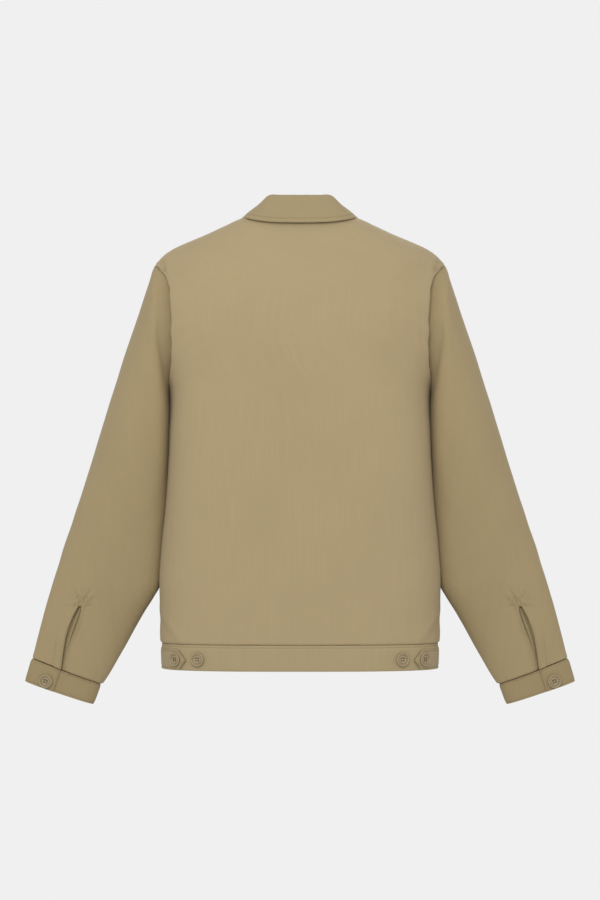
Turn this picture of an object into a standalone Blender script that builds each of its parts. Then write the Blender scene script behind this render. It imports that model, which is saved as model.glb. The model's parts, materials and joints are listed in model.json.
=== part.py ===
"""Waist-length cotton work jacket: front zip, folded collar, buttoned cuffs, waistband side tabs.

Metres, +Z up. The front faces -Y and the wearer's left is +X. The origin is the middle of the neck
opening at the height of the shoulder-neck points, where a hanger or a wearer's neck holds the jacket.
Sizes below are in millimetres and are scaled once, when each mesh is made.
"""
import math

import bmesh
import bpy
import numpy as np

MM = 0.001

# ---- driving dimensions (mm) ----
PLY = 1.6              # one panel of twill with its seam allowances
BAND = 2.4             # doubled, stitched cloth: waistband, cuffs, collar
SEAM = 0.25            # half of the gap left at every seam
HEM_Z, BAND_Z = -627.0, -591.0
SHOULDER_Z, UNDERARM_Z = -66.0, -240.0
ARMHOLE_BACK, ARMHOLE_FRONT = 70.0, 66.0     # depth of the armhole behind and in front of its centre
NECK_SIDE_Z = 5.0       # shoulder-neck points
ZIP_EDGE = 7.0         # each front panel stops this far from the middle of the zip
FACING_WIDTH = 60.0
BUTTON_D, BUTTON_T = 19.0, 3.0
TOOTH_PITCH = 8.0
ZIP_TOP_Z, ZIP_BOTTOM_Z = -98.0, -612.0
SHOULDER_PIVOT = (187.0, 0.0, -153.0)
CUFF_H = 34.0

# torso half width, back depth and front depth against height
HALF_WIDTH = [(-640, 192), (-591, 194), (-540, 195), (-497, 195), (-460, 192.5), (-430, 190), (-396, 187),
              (-346, 184), (-300, 183), (-240, 183), (-210, 190), (-180, 197.5), (-150, 201), (-125, 200),
              (-100, 197), (-80, 195), (-72, 197), (-66, 200), (-50, 188), (-34, 159), (-17, 117), (0, 83), (5, 70), (10, 60)]
BACK_DEPTH = [(-640, 99), (-591, 101), (-500, 106), (-400, 112), (-300, 117), (-200, 119), (-150, 116),
              (-100, 107), (-66, 97), (-34, 82), (-17, 73), (0, 62), (5, 58.5), (10, 55)]
FRONT_DEPTH = [(-640, 104.2), (-80, 92), (-50, 80), (-25, 62), (-10, 46), (0, 36), (5, 31), (10, 27)]
SQUARENESS = [(-640, 3.0), (-300, 2.9), (-150, 2.8), (-66, 2.6), (10, 2.5)]
# height of the neck seam against the share of the way from the middle to the shoulder-neck point
NECK_FRONT = [(0, -80), (0.09, -70), (0.2, -50), (0.43, -25), (0.69, -10), (1, 5)]

# sleeve: outer point, inner point (x, z), half depth and forward shift of rings from armhole to cuff
SLEEVE = [((192, -69), (176, -235.5), 62, 0), ((201.5, -68.4), (184.2, -236), 64, 0),
          ((206, -76), (186, -243), 67, 0), ((211.5, -91), (186, -256), 70, 0), ((222, -122), (185.5, -276), 73, -1),
          ((240, -176), (185.5, -302), 74, -2), ((264, -252), (186, -340), 70, -3),
          ((290, -336), (189, -390), 61, -4), ((312, -402), (193, -440), 52, -5),
          ((331, -458), (197.5, -495), 43, -6), ((343.5, -498), (207, -527), 38, -6),
          ((354, -533), (223, -556), 33, -6), ((361, -558), (236, -580), 30, -6),
          ((367, -580), (249, -604), 27, -6), ((371.5, -598), (263, -629), 24, -6),
          ((375, -614.5), (277, -651.5), 21, -6)]
CUFF_TOP = ((375.2, -615), (277.2, -652))
CUFF_BOTTOM = ((385, -647), (288, -680))
SLIT = [(-534, 303.5, 0.8), (-545, 307.5, 4), (-558, 312.5, 7), (-574, 318.5, 8), (-590, 324, 6),
        (-606, 328, 3), (-632, 333.5, 1.6)]    # height, x of its middle, width

# collar: neck seam is on the torso; crest of the fold and lower edge of the fall, middle back to front
CREST = [(0, 54, 29.5), (24, 52, 29.5), (44, 42, 28), (55, 25, 23.5), (60, 3, 17), (62.5, -24, 5.5),
         (61, -50, -11), (42, -73, -35), (6, -89, -68)]
FALL_EDGE = [(0, 72, -9), (38, 70, -8.5), (68, 59, -5.5), (85, 38, -1.5), (90, 10, 1), (95, -22, -3.5),
             (97, -57, -22), (90, -89, -66), (71, -98, -122)]


# ---- shape helpers ----
def smooth(table):
    """Smooth curve through a table whose first column rises."""
    t = np.array(table, float)
    x, y = t[:, 0], t[:, 1:]
    m = np.gradient(y, x, axis=0)

    def at(q):
        q = min(max(q, x[0]), x[-1])
        i = min(max(int(np.searchsorted(x, q)) - 1, 0), len(x) - 2)
        h = x[i + 1] - x[i]
        s = (q - x[i]) / h
        v = ((2 * s**3 - 3 * s**2 + 1) * y[i] + (s**3 - 2 * s**2 + s) * h * m[i]
             + (3 * s**2 - 2 * s**3) * y[i + 1] + (s**3 - s**2) * h * m[i + 1])
        return v if len(v) > 1 else float(v[0])
    return at


half_width = smooth(HALF_WIDTH)
back_depth = smooth(BACK_DEPTH)
squareness = smooth(SQUARENESS)
neck_front = smooth(NECK_FRONT)


def front_depth(z):
    zs, ds = zip(*FRONT_DEPTH)
    return float(np.interp(z, zs, ds))


def quarter(z, front):
    """Outline of one quarter of the torso at height z, from the middle to the side, with arc lengths."""
    a, n = half_width(z), squareness(z)
    b = -front_depth(z) if front else back_depth(z)
    phi = np.linspace(0, math.pi / 2, 361) ** 1.0
    phi = phi * phi * (3 - 2 * phi / (math.pi / 2)) / (math.pi / 2)
    x = a * np.sin(phi) ** (2 / n)
    y = b * np.abs(np.cos(phi)) ** (2 / n)
    y[-1] = 0
    arc = np.concatenate([[0], np.cumsum(np.hypot(np.diff(x), np.diff(y)))])
    return x, y, arc


def torso_at(z, front, arc_pos):
    x, y, arc = quarter(z, front)
    s = min(max(arc_pos, 0), arc[-1])
    return float(np.interp(s, arc, x)), float(np.interp(s, arc, y)), z


def edge_arc(z, front):
    """Arc length from the middle to the side seam, armhole edge or shoulder seam at height z."""
    x, y, arc = quarter(z, front)
    depth = ARMHOLE_FRONT if front else ARMHOLE_BACK
    mid, half = (SHOULDER_Z + UNDERARM_Z) / 2, (SHOULDER_Z - UNDERARM_Z) / 2
    k = 1 - abs((z - mid) / half) ** 2.3
    bite = depth * k ** (1 / 2.3) if k > 0 else 0
    return float(np.interp(-bite, -np.abs(y), arc)) - SEAM


def full_arc(z, front):
    return float(quarter(z, front)[2][-1])


def arc_of_x(z, front, x_want):
    x, y, arc = quarter(z, front)
    return float(np.interp(x_want, x, arc))


def material(name, rgb, rough=0.9, metal=0.0):
    m = bpy.data.materials.new(name)
    m.use_nodes = True
    b = m.node_tree.nodes["Principled BSDF"]
    b.inputs["Base Color"].default_value = (*rgb, 1)
    b.inputs["Roughness"].default_value = rough
    b.inputs["Metallic"].default_value = metal
    m.diffuse_color = (*rgb, 1)
    return m


TWILL = (0.43, 0.345, 0.20)
BUTTON_C = (0.30, 0.22, 0.125)
BRASS = (0.55, 0.40, 0.16)
PALE = (0.55, 0.47, 0.30)


def add_object(name, verts, faces, rgb, rough=0.9, metal=0.0, origin=(0, 0, 0)):
    o = np.array(origin, float)
    me = bpy.data.meshes.new(name)
    me.from_pydata([tuple((np.array(v, float) - o) * MM) for v in verts], [], [tuple(f) for f in faces])
    me.update()
    bm = bmesh.new()
    bm.from_mesh(me)
    bmesh.ops.recalc_face_normals(bm, faces=bm.faces)
    bm.to_mesh(me)
    bm.free()
    ob = bpy.data.objects.new(name, me)
    ob.location = tuple(o * MM)
    bpy.context.scene.collection.objects.link(ob)
    me.materials.append(material(name, rgb, rough, metal))
    return ob


def mirror_of(ob, name):
    """The same piece on the wearer's right."""
    me = ob.data.copy()
    me.name = name
    me.materials.clear()
    src = ob.data.materials[0].node_tree.nodes["Principled BSDF"].inputs
    me.materials.append(material(name, tuple(src["Base Color"].default_value)[:3],
                                 src["Roughness"].default_value, src["Metallic"].default_value))
    for v in me.vertices:
        v.co.x = -v.co.x
    me.flip_normals()
    new = bpy.data.objects.new(name, me)
    new.location = (-ob.location.x, ob.location.y, ob.location.z)
    bpy.context.scene.collection.objects.link(new)
    return new


def sheet(name, grid, thick, offset=0.0, wrap=False, outward=None, holes=(), rgb=TWILL, origin=(0, 0, 0)):
    """A closed panel: a grid of points pushed out by offset and thickened inwards.

    wrap joins the last column to the first, outward gives a point the panel faces away from, and holes
    lists the (row, column) quads left out.
    """
    g = np.array(grid, float)
    rows, cols = g.shape[:2]
    v = g.reshape(-1, 3)
    faces = []
    for r in range(rows - 1):
        for c in range(cols if wrap else cols - 1):
            if (r, c) not in holes:
                d = (c + 1) % cols
                faces.append((r * cols + c, r * cols + d, (r + 1) * cols + d, (r + 1) * cols + c))
    normal = np.zeros_like(v)
    for f in faces:
        p = v[list(f)]
        n = np.cross(p[2] - p[0], p[3] - p[1])
        n /= max(np.linalg.norm(n), 1e-9)
        for i in f:
            normal[i] += n
    length = np.linalg.norm(normal, axis=1, keepdims=True)
    used = sorted({i for f in faces for i in f})
    normal = normal / np.maximum(length, 1e-9)
    if outward is not None:
        away = v - np.array(outward, float)
        if np.sum(normal[used] * away[used]) < 0:
            normal = -normal
    number = {i: k for k, i in enumerate(used)}
    split = []              # both sides of a panel are cut along the same, shorter diagonal
    for a, b, c, d in faces:
        if np.linalg.norm(v[a] - v[c]) <= np.linalg.norm(v[b] - v[d]):
            split += [(a, b, c), (a, c, d)]
        else:
            split += [(a, b, d), (b, c, d)]
    faces = split
    top = [v[i] + normal[i] * offset for i in used]
    low = [v[i] + normal[i] * (offset - thick) for i in used]
    m = len(used)
    out = [tuple(number[i] for i in f) for f in faces]
    under = [tuple(number[i] + m for i in reversed(f)) for f in faces]
    seen = {}
    for f in out:
        for a, b in zip(f, f[1:] + f[:1]):
            seen[(a, b)] = seen.get((a, b), 0) + 1
    rim = [(b, a, a + m, b + m) for (a, b) in seen if (b, a) not in seen]
    return add_object(name, top + low, out + under + rim, rgb, origin=origin)


def block(name, lo, hi, frame=None, rgb=BRASS, rough=0.35, metal=1.0, origin=(0, 0, 0), keep=False):
    corners = [(x, y, z) for x in (lo[0], hi[0]) for y in (lo[1], hi[1]) for z in (lo[2], hi[2])]
    if frame:
        corners = [frame(*c) for c in corners]
    faces = [(0, 1, 3, 2), (4, 6, 7, 5), (0, 4, 5, 1), (2, 3, 7, 6), (0, 2, 6, 4), (1, 5, 7, 3)]
    return add_object(name, corners, faces, rgb, rough, metal, origin)


def boolean(ob, other, kind):
    mod = ob.modifiers.new("cut", "BOOLEAN")
    mod.operation, mod.object, mod.solver = kind, other, "EXACT"
    deps = bpy.context.evaluated_depsgraph_get()
    me = bpy.data.meshes.new_from_object(ob.evaluated_get(deps))
    ob.modifiers.clear()
    ob.data = me
    bpy.data.objects.remove(other)


def button(name, centre, normal, origin=(0, 0, 0)):
    """Four-hole button with a raised rim; centre is the middle of its under face."""
    n = np.array(normal, float)
    n /= np.linalg.norm(n)
    u = np.cross(n, (0, 0, 1.0))
    u /= np.linalg.norm(u)
    w = np.cross(u, n)
    r = BUTTON_D / 2
    profile = [(r * 0.93, 0.0), (r, 0.9), (r, 1.9), (r * 0.93, BUTTON_T), (r * 0.76, BUTTON_T), (r * 0.66, 1.9)]
    k = 16
    c = np.array(centre, float)

    def at(radius, angle, h):
        return c + u * radius * math.cos(angle) + w * radius * math.sin(angle) + n * h
    verts = [at(rad, 2 * math.pi * i / k, h) for rad, h in profile for i in range(k)]
    faces = [(j * k + i, j * k + (i + 1) % k, (j + 1) * k + (i + 1) % k, (j + 1) * k + i)
             for j in range(len(profile) - 1) for i in range(k)]
    faces += [tuple(reversed(range(k))), tuple(range((len(profile) - 1) * k, len(profile) * k))]
    ob = add_object(name, verts, faces, BUTTON_C, 0.4, 0.0, origin)
    for sx in (-1, 1):
        for sy in (-1, 1):
            mid = c + u * 2.0 * sx + w * 2.0 * sy
            ring = [mid + u * 0.95 * math.cos(a) + w * 0.95 * math.sin(a) + n * h
                    for h in (-1, BUTTON_T + 1) for a in np.arange(6) * math.pi / 3]
            sides = [(i, (i + 1) % 6, (i + 1) % 6 + 6, i + 6) for i in range(6)]
            drill = add_object("drill", ring, sides + [tuple(range(6)), tuple(range(6, 12))], BUTTON_C,
                               origin=origin)
            boolean(ob, drill, "DIFFERENCE")
    ob.data.materials.clear()
    ob.data.materials.append(material(name, BUTTON_C, 0.4))
    return ob


# ---- torso panels ----
# rows of the torso panels: height in the middle of the panel and at its side edge
BODY_Z = [(-591, -591), (-540, -540), (-480, -480), (-410, -410), (-340, -340), (-290, -290), (-262, -258),
          (-243, -240.1), (-232, -239), (-220, -234), (-205, -223), (-188, -205), (-165, -175), (-142, -142),
          (-122, -112), (-106, -90), (-94, -77), (-84, -70), (-75, -66), (-63, -55), (-50, -42), (-36, -28),
          (-22, -14), (-9, -4), (NECK_SIDE_Z, NECK_SIDE_Z)]
SHARES = [0, .14, .28, .41, .53, .65, .77, .89, 1]


def row_share(pair, u):
    """How far up the panel a row is at share u of its width: 0 at the waist seam, 1 at the neck."""
    z = max(pair[0] + (pair[1] - pair[0]) * u**1.5, BAND_Z + SEAM)
    return (z - BAND_Z) / (NECK_SIDE_Z - BAND_Z)


def back_grid():
    rows = []
    for pair in BODY_Z:
        ze = max(pair[1], BAND_Z + SEAM)
        share = edge_arc(ze, False) / full_arc(ze, False)
        half = []
        for u in SHARES:
            v = row_share(pair, u)
            z = BAND_Z + v * (NECK_SIDE_Z - BAND_Z) - 4.5 * (1 - u * u) * v**8
            half.append(torso_at(z, False, u * share * full_arc(z, False)))
        rows.append([(-x, y, z) for x, y, z in reversed(half[1:])] + half)
    return rows


def front_grid(start_x, end_x=None, pairs=BODY_Z, shares=SHARES, lower=0.0):
    """Rows of a front piece from start_x beside the zip to the panel's edge, or to end_x."""
    rows = []
    for pair in pairs:
        ze = max(pair[1], BAND_Z + SEAM)
        share = edge_arc(ze, True) / full_arc(ze, True)
        row = []
        for u in shares:
            if end_x is None:
                v = row_share(pair, u)
                z0 = BAND_Z + (neck_front(0) - BAND_Z) * row_share(pair, 0)
                f0 = arc_of_x(z0, True, start_x) / full_arc(z0, True)
                f = f0 + u * (share - f0)
            else:
                v = row_share(pair, 0.2)
                z_try = BAND_Z + (neck_front(0.15) - BAND_Z) * v
                f = arc_of_x(z_try, True, start_x + u * (end_x - start_x)) / full_arc(z_try, True)
            z = BAND_Z + (neck_front(min(f / share, 1)) - lower - BAND_Z) * v
            row.append(torso_at(z, True, f * full_arc(z, True)))
        rows.append(row)
    return rows


def band_grid(front, start_arc, end_trim, zs, out=0.0):
    rows = []
    for z in zs:
        total = full_arc(z, front)
        row = []
        for u in np.linspace(0, 1, 13):
            row.append(torso_at(z, front, start_arc + u * (total - end_trim - start_arc)))
        rows.append(row)
    return rows


MIDDLE = (0, 0, -320)
BAND_ROWS = [HEM_Z, HEM_Z + 18, BAND_Z - SEAM]


def make_torso():
    sheet("back_panel", back_grid(), PLY, outward=MIDDLE)
    left = sheet("left_front_panel", front_grid(ZIP_EDGE), PLY, outward=MIDDLE)
    mirror_of(left, "right_front_panel")
    half = band_grid(False, 0, SEAM, BAND_ROWS)
    rows = [[(-x, y, z) for x, y, z in reversed(r[1:])] + r for r in half]
    sheet("back_waistband", rows, BAND, 0.4, outward=MIDDLE)
    left = sheet("left_front_waistband", band_grid(True, ZIP_EDGE, SEAM, BAND_ROWS), BAND, 0.4, outward=MIDDLE)
    mirror_of(left, "right_front_waistband")
    facing_z = [-589, -500, -410, -320, -250, -200, -150, -110, -75, -48, -24, -3]
    left = sheet("left_front_facing", front_grid(ZIP_EDGE + 1, FACING_WIDTH, [(z, z) for z in facing_z],
                                                 np.linspace(0, 1, 7), 3.0),
                 1.2, -4.0, outward=MIDDLE)
    mirror_of(left, "right_front_facing")


def back_patch(x_half, z_low, z_high, cols, rows, bow=0.0):
    """Points on the back panel between two heights; bow drops the middle of the lower edge."""
    out = []
    for t in np.linspace(0, 1, rows):
        row = []
        for s in np.linspace(-1, 1, cols):
            z = z_low - bow * (1 - s * s) + t * (z_high - z_low + bow * (1 - s * s))
            x, y, _ = torso_at(z, False, arc_of_x(z, False, abs(s) * x_half))
            row.append((math.copysign(x, s) if s else 0.0, y, z))
        out.append(row)
    return out


def make_neck_pieces():
    sheet("back_neck_facing", back_patch(56, -32, -4, 11, 7, 34), 1.2, -PLY - 1.4, outward=MIDDLE)
    sheet("neck_label", back_patch(24, -58, -34, 5, 3), 0.6, -PLY - 3.1, outward=MIDDLE, rgb=PALE)
    loop = []
    for s in np.linspace(-1, 1, 15):
        z = -16.0 - 3 * (1 - s * s)
        x = 34 * s
        y = torso_at(z, False, abs(x))[1] - PLY - 7.6 - 7.5 * (1 - s**4)
        loop.append([(x, y, z + dz) for dz in (-2.2, 2.2)])
    sheet("hanger_loop", loop, 1.6, outward=(0, 300, -16))
    # stand
    crest = smooth([(i / 8, *p) for i, p in enumerate(CREST)])
    edge = smooth([(i / 8, *p) for i, p in enumerate(FALL_EDGE)])
    f0 = ZIP_EDGE / full_arc(neck_front(0), True)
    w_at = [u / 2 for u in SHARES] + [1 - (f0 + u * (1 - f0)) / 2 for u in reversed(SHARES[:-1])]

    def seam(w):
        if w < 0.5:
            u = w / 0.5
            z = NECK_SIDE_Z - 4.5 * (1 - u * u)
            return np.array(torso_at(z, False, u * full_arc(z, False)))
        u = (1 - w) / 0.5
        z = neck_front(u)
        p = np.array(torso_at(z, True, u * full_arc(z, True)))
        return p
    rows = [[], [], [], []]
    for w in w_at:
        low, top = seam(w), crest(w)
        low = low + (top - low) / np.linalg.norm(top - low) * 1.3
        r = np.array([top[0], top[1] + 10, 0.0])
        top = top - r / np.linalg.norm(r) * 1.2 - (0, 0, 4.9)
        for k, t in enumerate((0, 0.33, 0.67, 1)):
            p = low + (top - low) * t
            rows[k].append(p)
    whole = [[(-p[0], p[1], p[2]) for p in reversed(r[1:])] + [tuple(p) for p in r] for r in rows]
    whole = [[p if abs(p[0]) > 1e-9 else (0.0, p[1], p[2]) for p in r] for r in whole]
    sheet("collar_stand", whole, 2.0, -0.2, outward=(0, -10, -40))
    # fall: rolls over the crest, then down and outwards to its edge
    rows = [[] for _ in range(7)]
    for w in w_at:
        c, e = crest(w), edge(w)
        h = np.array([c[0], c[1] + 10, 0.0])
        h /= np.linalg.norm(h)
        bulge = h * 5.0 + np.array([0, 0, 3.0])
        path = [c - h * 2.6 + np.array([0, 0, -1.4]), c, c + h * 2.4 + np.array([0, 0, -0.4])]
        start = path[-1]
        for t in (0.18, 0.45, 0.72, 1.0):
            path.append(start + (e - start) * t + bulge * (4 * t * (1 - t)) * 0.6)
        for k, p in enumerate(path):
            rows[k].append(p)
    whole = [[(-p[0], p[1], p[2]) for p in reversed(r[1:])] + [tuple(p) for p in r] for r in rows]
    sheet("collar_fall", whole, BAND - 0.2, 0.0, outward=(0, -10, -60))


def on_band(front, arc_from_side, z, out):
    total = full_arc(z, front)
    s = total - arc_from_side
    a = np.array(torso_at(z, front, s - 1.5))
    b = np.array(torso_at(z, front, s + 1.5 if s + 1.5 < total else total))
    t = b - a
    n = np.array([-t[1], t[0], 0.0])
    n /= np.linalg.norm(n)
    p = np.array(torso_at(z, front, s))
    if n[1] * p[1] + n[0] * p[0] < 0:
        n = -n
    return p + n * out, n


def make_waist_trim():
    tab_low, tab_high, length, point = -624.0, -597.5, 91.5, 12.5
    mid, half = (tab_low + tab_high) / 2, (tab_high - tab_low) / 2
    rows = [[], [], [], [], []]
    for s in [1.0, 6, 14, 22, 30, 38, 46, 55, 66, length - point, length - point / 2, length]:
        h = half if s <= length - point else half * max((length - s) / point, 0.08)
        for k, t in enumerate((-1, -0.5, 0, 0.5, 1)):
            rows[k].append(on_band(False, s, mid + h * t, 0.0)[0])
    left = sheet("left_waist_tab", rows, 2.0, 0.4 + 0.5 + 2.0, outward=MIDDLE)
    mirror_of(left, "right_waist_tab")
    p, n = on_band(False, 70.5, mid - 1, 0.4 + 0.5 + 2.0 + 0.4)
    mirror_of(button("left_tab_button", p, n), "right_tab_button")
    p, n = on_band(False, 110.0, mid - 1, 0.4 + 0.4)
    mirror_of(button("left_spare_button", p, n), "right_spare_button")


def front_patch(p0, p1, width, cols, rows):
    """Points on the front panel along the line p0 to p1 (x, z), width across it."""
    a, b = np.array(p0, float), np.array(p1, float)
    d = (b - a) / np.linalg.norm(b - a)
    across = np.array([-d[1], d[0]])
    out = []
    for t in np.linspace(0, 1, rows):
        row = []
        for s in np.linspace(-0.5, 0.5, cols):
            x, z = a + (b - a) * t + across * width * s
            row.append(torso_at(z, True, arc_of_x(z, True, x)))
        out.append(row)
    return out


def make_pockets():
    left = sheet("left_pocket_welt", front_patch((84, -405), (116, -550), 20, 3, 7), 1.6, 0.5 + 1.6, outward=MIDDLE)
    mirror_of(left, "right_pocket_welt")
    left = sheet("left_pocket_bag", front_patch((98, -392), (98, -575), 64, 6, 8), 1.0, -PLY - 2.6, outward=MIDDLE,
                 rgb=PALE)
    mirror_of(left, "right_pocket_bag")


# ---- zip ----
ZIP_A = np.array([0, -front_depth(-80), -80.0])
ZIP_B = np.array([0, -front_depth(-630), -630.0])
ZIP_DIR = (ZIP_A - ZIP_B) / np.linalg.norm(ZIP_A - ZIP_B)
ZIP_OUT = np.array([0, -ZIP_DIR[2], ZIP_DIR[1]])


def zip_point(x, out, z):
    """A point beside the zip: x across, out towards the outside, z its height along the closed front."""
    s = (z - ZIP_B[2]) / ZIP_DIR[2]
    return ZIP_B + ZIP_DIR * s + ZIP_OUT * out + np.array([x, 0, 0])


def comb(name, side, phase):
    """Row of teeth on one tape; the teeth reach across the middle between those of the other row."""
    out = [(side * 2.9, ZIP_TOP_Z), (side * 2.9, ZIP_BOTTOM_Z), (side * 1.5, ZIP_BOTTOM_Z)]
    z = ZIP_BOTTOM_Z + 1.5 + phase
    while z + 2.4 < ZIP_TOP_Z - 0.5:
        out += [(side * 1.5, z), (-side * 1.1, z + 0.2), (-side * 1.1, z + 2.2), (side * 1.5, z + 2.4)]
        z += TOOTH_PITCH
    out.append((side * 1.5, ZIP_TOP_Z))
    k = len(out)
    verts = [zip_point(x, h, z) for h in (-1.8, -4.4) for x, z in out]
    faces = [tuple(range(k)), tuple(reversed(range(k, 2 * k)))]
    faces += [(i, (i + 1) % k, (i + 1) % k + k, i + k) for i in range(k)]
    ob = add_object(name, verts, faces, BRASS, 0.35, 1.0)
    bm = bmesh.new()
    bm.from_mesh(ob.data)
    bmesh.ops.triangulate(bm, faces=[f for f in bm.faces if len(f.verts) > 4])
    bm.to_mesh(ob.data)
    bm.free()
    return ob


def make_zip():
    tape = [[zip_point(x, 0, z) for x in (3.3, 12, 22)] for z in (-619, -500, -350, -200, -90)]
    left = sheet("left_zip_tape", tape, 0.8, -2.7, outward=MIDDLE)
    mirror_of(left, "right_zip_tape")
    comb("left_zip_teeth", 1, 0)
    comb("right_zip_teeth", -1, TOOTH_PITCH / 2)
    left = block("left_zip_top_stop", (0.9, -4.3, -97.4), (2.9, -1.9, -95.6), zip_point)
    mirror_of(left, "right_zip_top_stop")
    block("zip_retainer_box", (-2.9, -4.5, -626.0), (2.9, -1.7, -620.4), zip_point)
    block("zip_insertion_pin", (0.4, -4.1, -620.0), (2.4, -2.1, -612.6), zip_point)
    # slider: a plate on each side of the teeth, joined above them, and a bail for the pull
    home = tuple(zip_point(0, 0, -90))
    slider = block("zip_slider", (-4.6, -1.4, -101), (4.6, 0.2, -84), zip_point, origin=home)
    for lo, hi in [((-4.6, -6.3, -101), (4.6, -4.8, -84)), ((-0.6, -5.5, -94), (0.6, -0.5, -85)),
                   ((-0.8, -0.3, -97), (0.8, 3.9, -87))]:
        boolean(slider, block("tool", lo, hi, zip_point, origin=home), "UNION")
    boolean(slider, block("tool", (-2, 0.2, -95.4), (2, 2.7, -88.6), zip_point, origin=home), "DIFFERENCE")
    slider.data.materials.clear()
    slider.data.materials.append(material("zip_slider", BRASS, 0.35, 1.0))
    axis = tuple(zip_point(0, 1.4, -90.9))
    pull = block("zip_pull", (-3.2, 0.8, -124), (3.2, 2.0, -90.0), zip_point, origin=axis)
    boolean(pull, block("tool", (-1.4, 0, -97.8), (1.4, 3, -89), zip_point, origin=axis), "DIFFERENCE")
    boolean(pull, block("tool", (-2.4, 1.0, -91.4), (2.4, 1.8, -90.4), zip_point, origin=axis), "UNION")
    pull.data.materials.clear()
    pull.data.materials.append(material("zip_pull", BRASS, 0.35, 1.0))


# ---- sleeves ----
ring_table = smooth([(i / 15, *o, *p, d, y) for i, (o, p, d, y) in enumerate(SLEEVE)])


def ring_point(values, angle, n=2.3):
    """A point of a sleeve ring; angle 0 is the outer side, 90 degrees the back."""
    ox, oz, ix, iz, d, y = values
    c = math.copysign(abs(math.cos(angle)) ** (2 / n), math.cos(angle))
    s = math.copysign(abs(math.sin(angle)) ** (2 / n), math.sin(angle))
    return np.array([(ox + ix) / 2 + (ox - ix) / 2 * c, y + d * s, (oz + iz) / 2 + (oz - iz) / 2 * c])


def armhole_bow(t):
    return 10.0 * max(0, 1 - t / 0.2) ** 2


def sleeve_point(t, angle):
    p = ring_point(ring_table(t), angle)
    p[0] -= armhole_bow(t) * math.sin(angle) ** 2
    return p


def slit_at(z):
    zs = [s[0] for s in reversed(SLIT)]
    return (float(np.interp(z, zs, [s[1] for s in reversed(SLIT)])),
            float(np.interp(z, zs, [s[2] for s in reversed(SLIT)])))


SLIT_TOP_T = 0.732


def slit_angles(t):
    """Ring angles of the two edges of the placket slit; above the slit they stay a little apart."""
    above = min(max((SLIT_TOP_T - t) / 0.15, 0), 1)
    t = max(t, SLIT_TOP_T)
    x, w = slit_at(float(sleeve_point(t, math.radians(80))[2]))
    a, b = angle_at_x(t, x + w / 2), angle_at_x(t, x - w / 2)
    return a + (math.radians(62) - a) * above, b + (math.radians(76) - b) * above


def angle_at_x(t, x):
    """Ring angle on the back of the sleeve where it is x from the middle of the jacket."""
    angles = np.linspace(math.radians(20), math.radians(150), 160)
    xs = np.array([sleeve_point(t, a)[0] for a in angles])
    return float(np.interp(x, xs[::-1], angles[::-1]))


def make_sleeves():
    ts = [i / 15 for i in range(11)] + [0.70, SLIT_TOP_T, 0.75, 0.78, 0.815, 0.85, 0.89, 0.93, 0.97, 1]
    fixed = [-150, -120, -90, -60, -30, 0, 22, 42]
    grid, holes = [], []
    for r, t in enumerate(ts):
        a, b = slit_angles(t)
        row = [math.radians(k) for k in fixed] + [a, b]
        row += [b + (math.radians(210) - b) * k for k in (0.2, 0.4, 0.6, 0.8)]
        grid.append([sleeve_point(t, k) for k in row])
        if SLIT_TOP_T <= t < 1:
            holes.append((r, len(fixed)))
    left = sheet("left_sleeve", grid, PLY, wrap=True, outward=(262, 0, -360), holes=set(holes),
                 origin=SHOULDER_PIVOT)
    mirror_of(left, "right_sleeve")
    # placket strip under the slit
    rows = []
    for t in (0.775, 0.82, 0.86, 0.90, 0.94, 0.975, 0.995):
        a, b = slit_angles(t)
        pts = []
        x_mid = (sleeve_point(t, a)[0] + sleeve_point(t, b)[0]) / 2
        for shift in (10, 6, 2, -3, -7):
            pts.append(sleeve_point(t, angle_at_x(t, x_mid + shift)))
        rows.append(pts)
    left = sheet("left_placket", rows, 1.0, -PLY - 1.6, outward=(320, -10, -590), origin=SHOULDER_PIVOT)
    mirror_of(left, "right_placket")
    # cuff: a band wound a little over one turn, its end lapped under the buttoned end
    rows = []
    steps = np.linspace(0, 1, 29)
    for v in (1, 0.5, 0):
        o = np.array(CUFF_BOTTOM[0]) + v * (np.array(CUFF_TOP[0]) - np.array(CUFF_BOTTOM[0]))
        i = np.array(CUFF_BOTTOM[1]) + v * (np.array(CUFF_TOP[1]) - np.array(CUFF_BOTTOM[1]))
        row = []
        for s in steps:
            angle = math.radians(83 - 399 * s)
            tuck = -2.9 * min(max((s - 0.55) / 0.15, 0), 1)
            grow = 1 + tuck / 48
            mid = (o + i) / 2
            oo, ii = mid + (o - mid) * grow, mid + (i - mid) * grow
            row.append(ring_point((oo[0], oo[1], ii[0], ii[1], 20.5 + tuck, -6.0), angle))
        rows.append(row)
    left = sheet("left_cuff", rows, 2.0, 0.0, outward=(330, -6, -648), origin=SHOULDER_PIVOT)
    mirror_of(left, "right_cuff")
    angle = math.radians(63)
    o = 0.36 * np.array(CUFF_TOP[0]) + 0.64 * np.array(CUFF_BOTTOM[0])
    i = 0.36 * np.array(CUFF_TOP[1]) + 0.64 * np.array(CUFF_BOTTOM[1])
    v = (o[0], o[1], i[0], i[1], 20.5, -6.0)
    p, q = ring_point(v, angle), ring_point(v, angle + 0.05)
    along = np.cross(q - p, (0.298, 0, -0.954))
    along /= np.linalg.norm(along)
    if along[1] < 0:
        along = -along
    mirror_of(button("left_cuff_button", p + along * 1.0, along, origin=SHOULDER_PIVOT), "right_cuff_button")


for old in list(bpy.data.objects):
    bpy.data.objects.remove(old)
make_torso()
make_neck_pieces()
make_waist_trim()
make_pockets()
make_zip()
make_sleeves()
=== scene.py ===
"""Looks for the waist-length twill work jacket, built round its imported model."""
import json
import math

import bmesh
import bpy
import numpy as np
from mathutils import Matrix, Vector, noise

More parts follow.
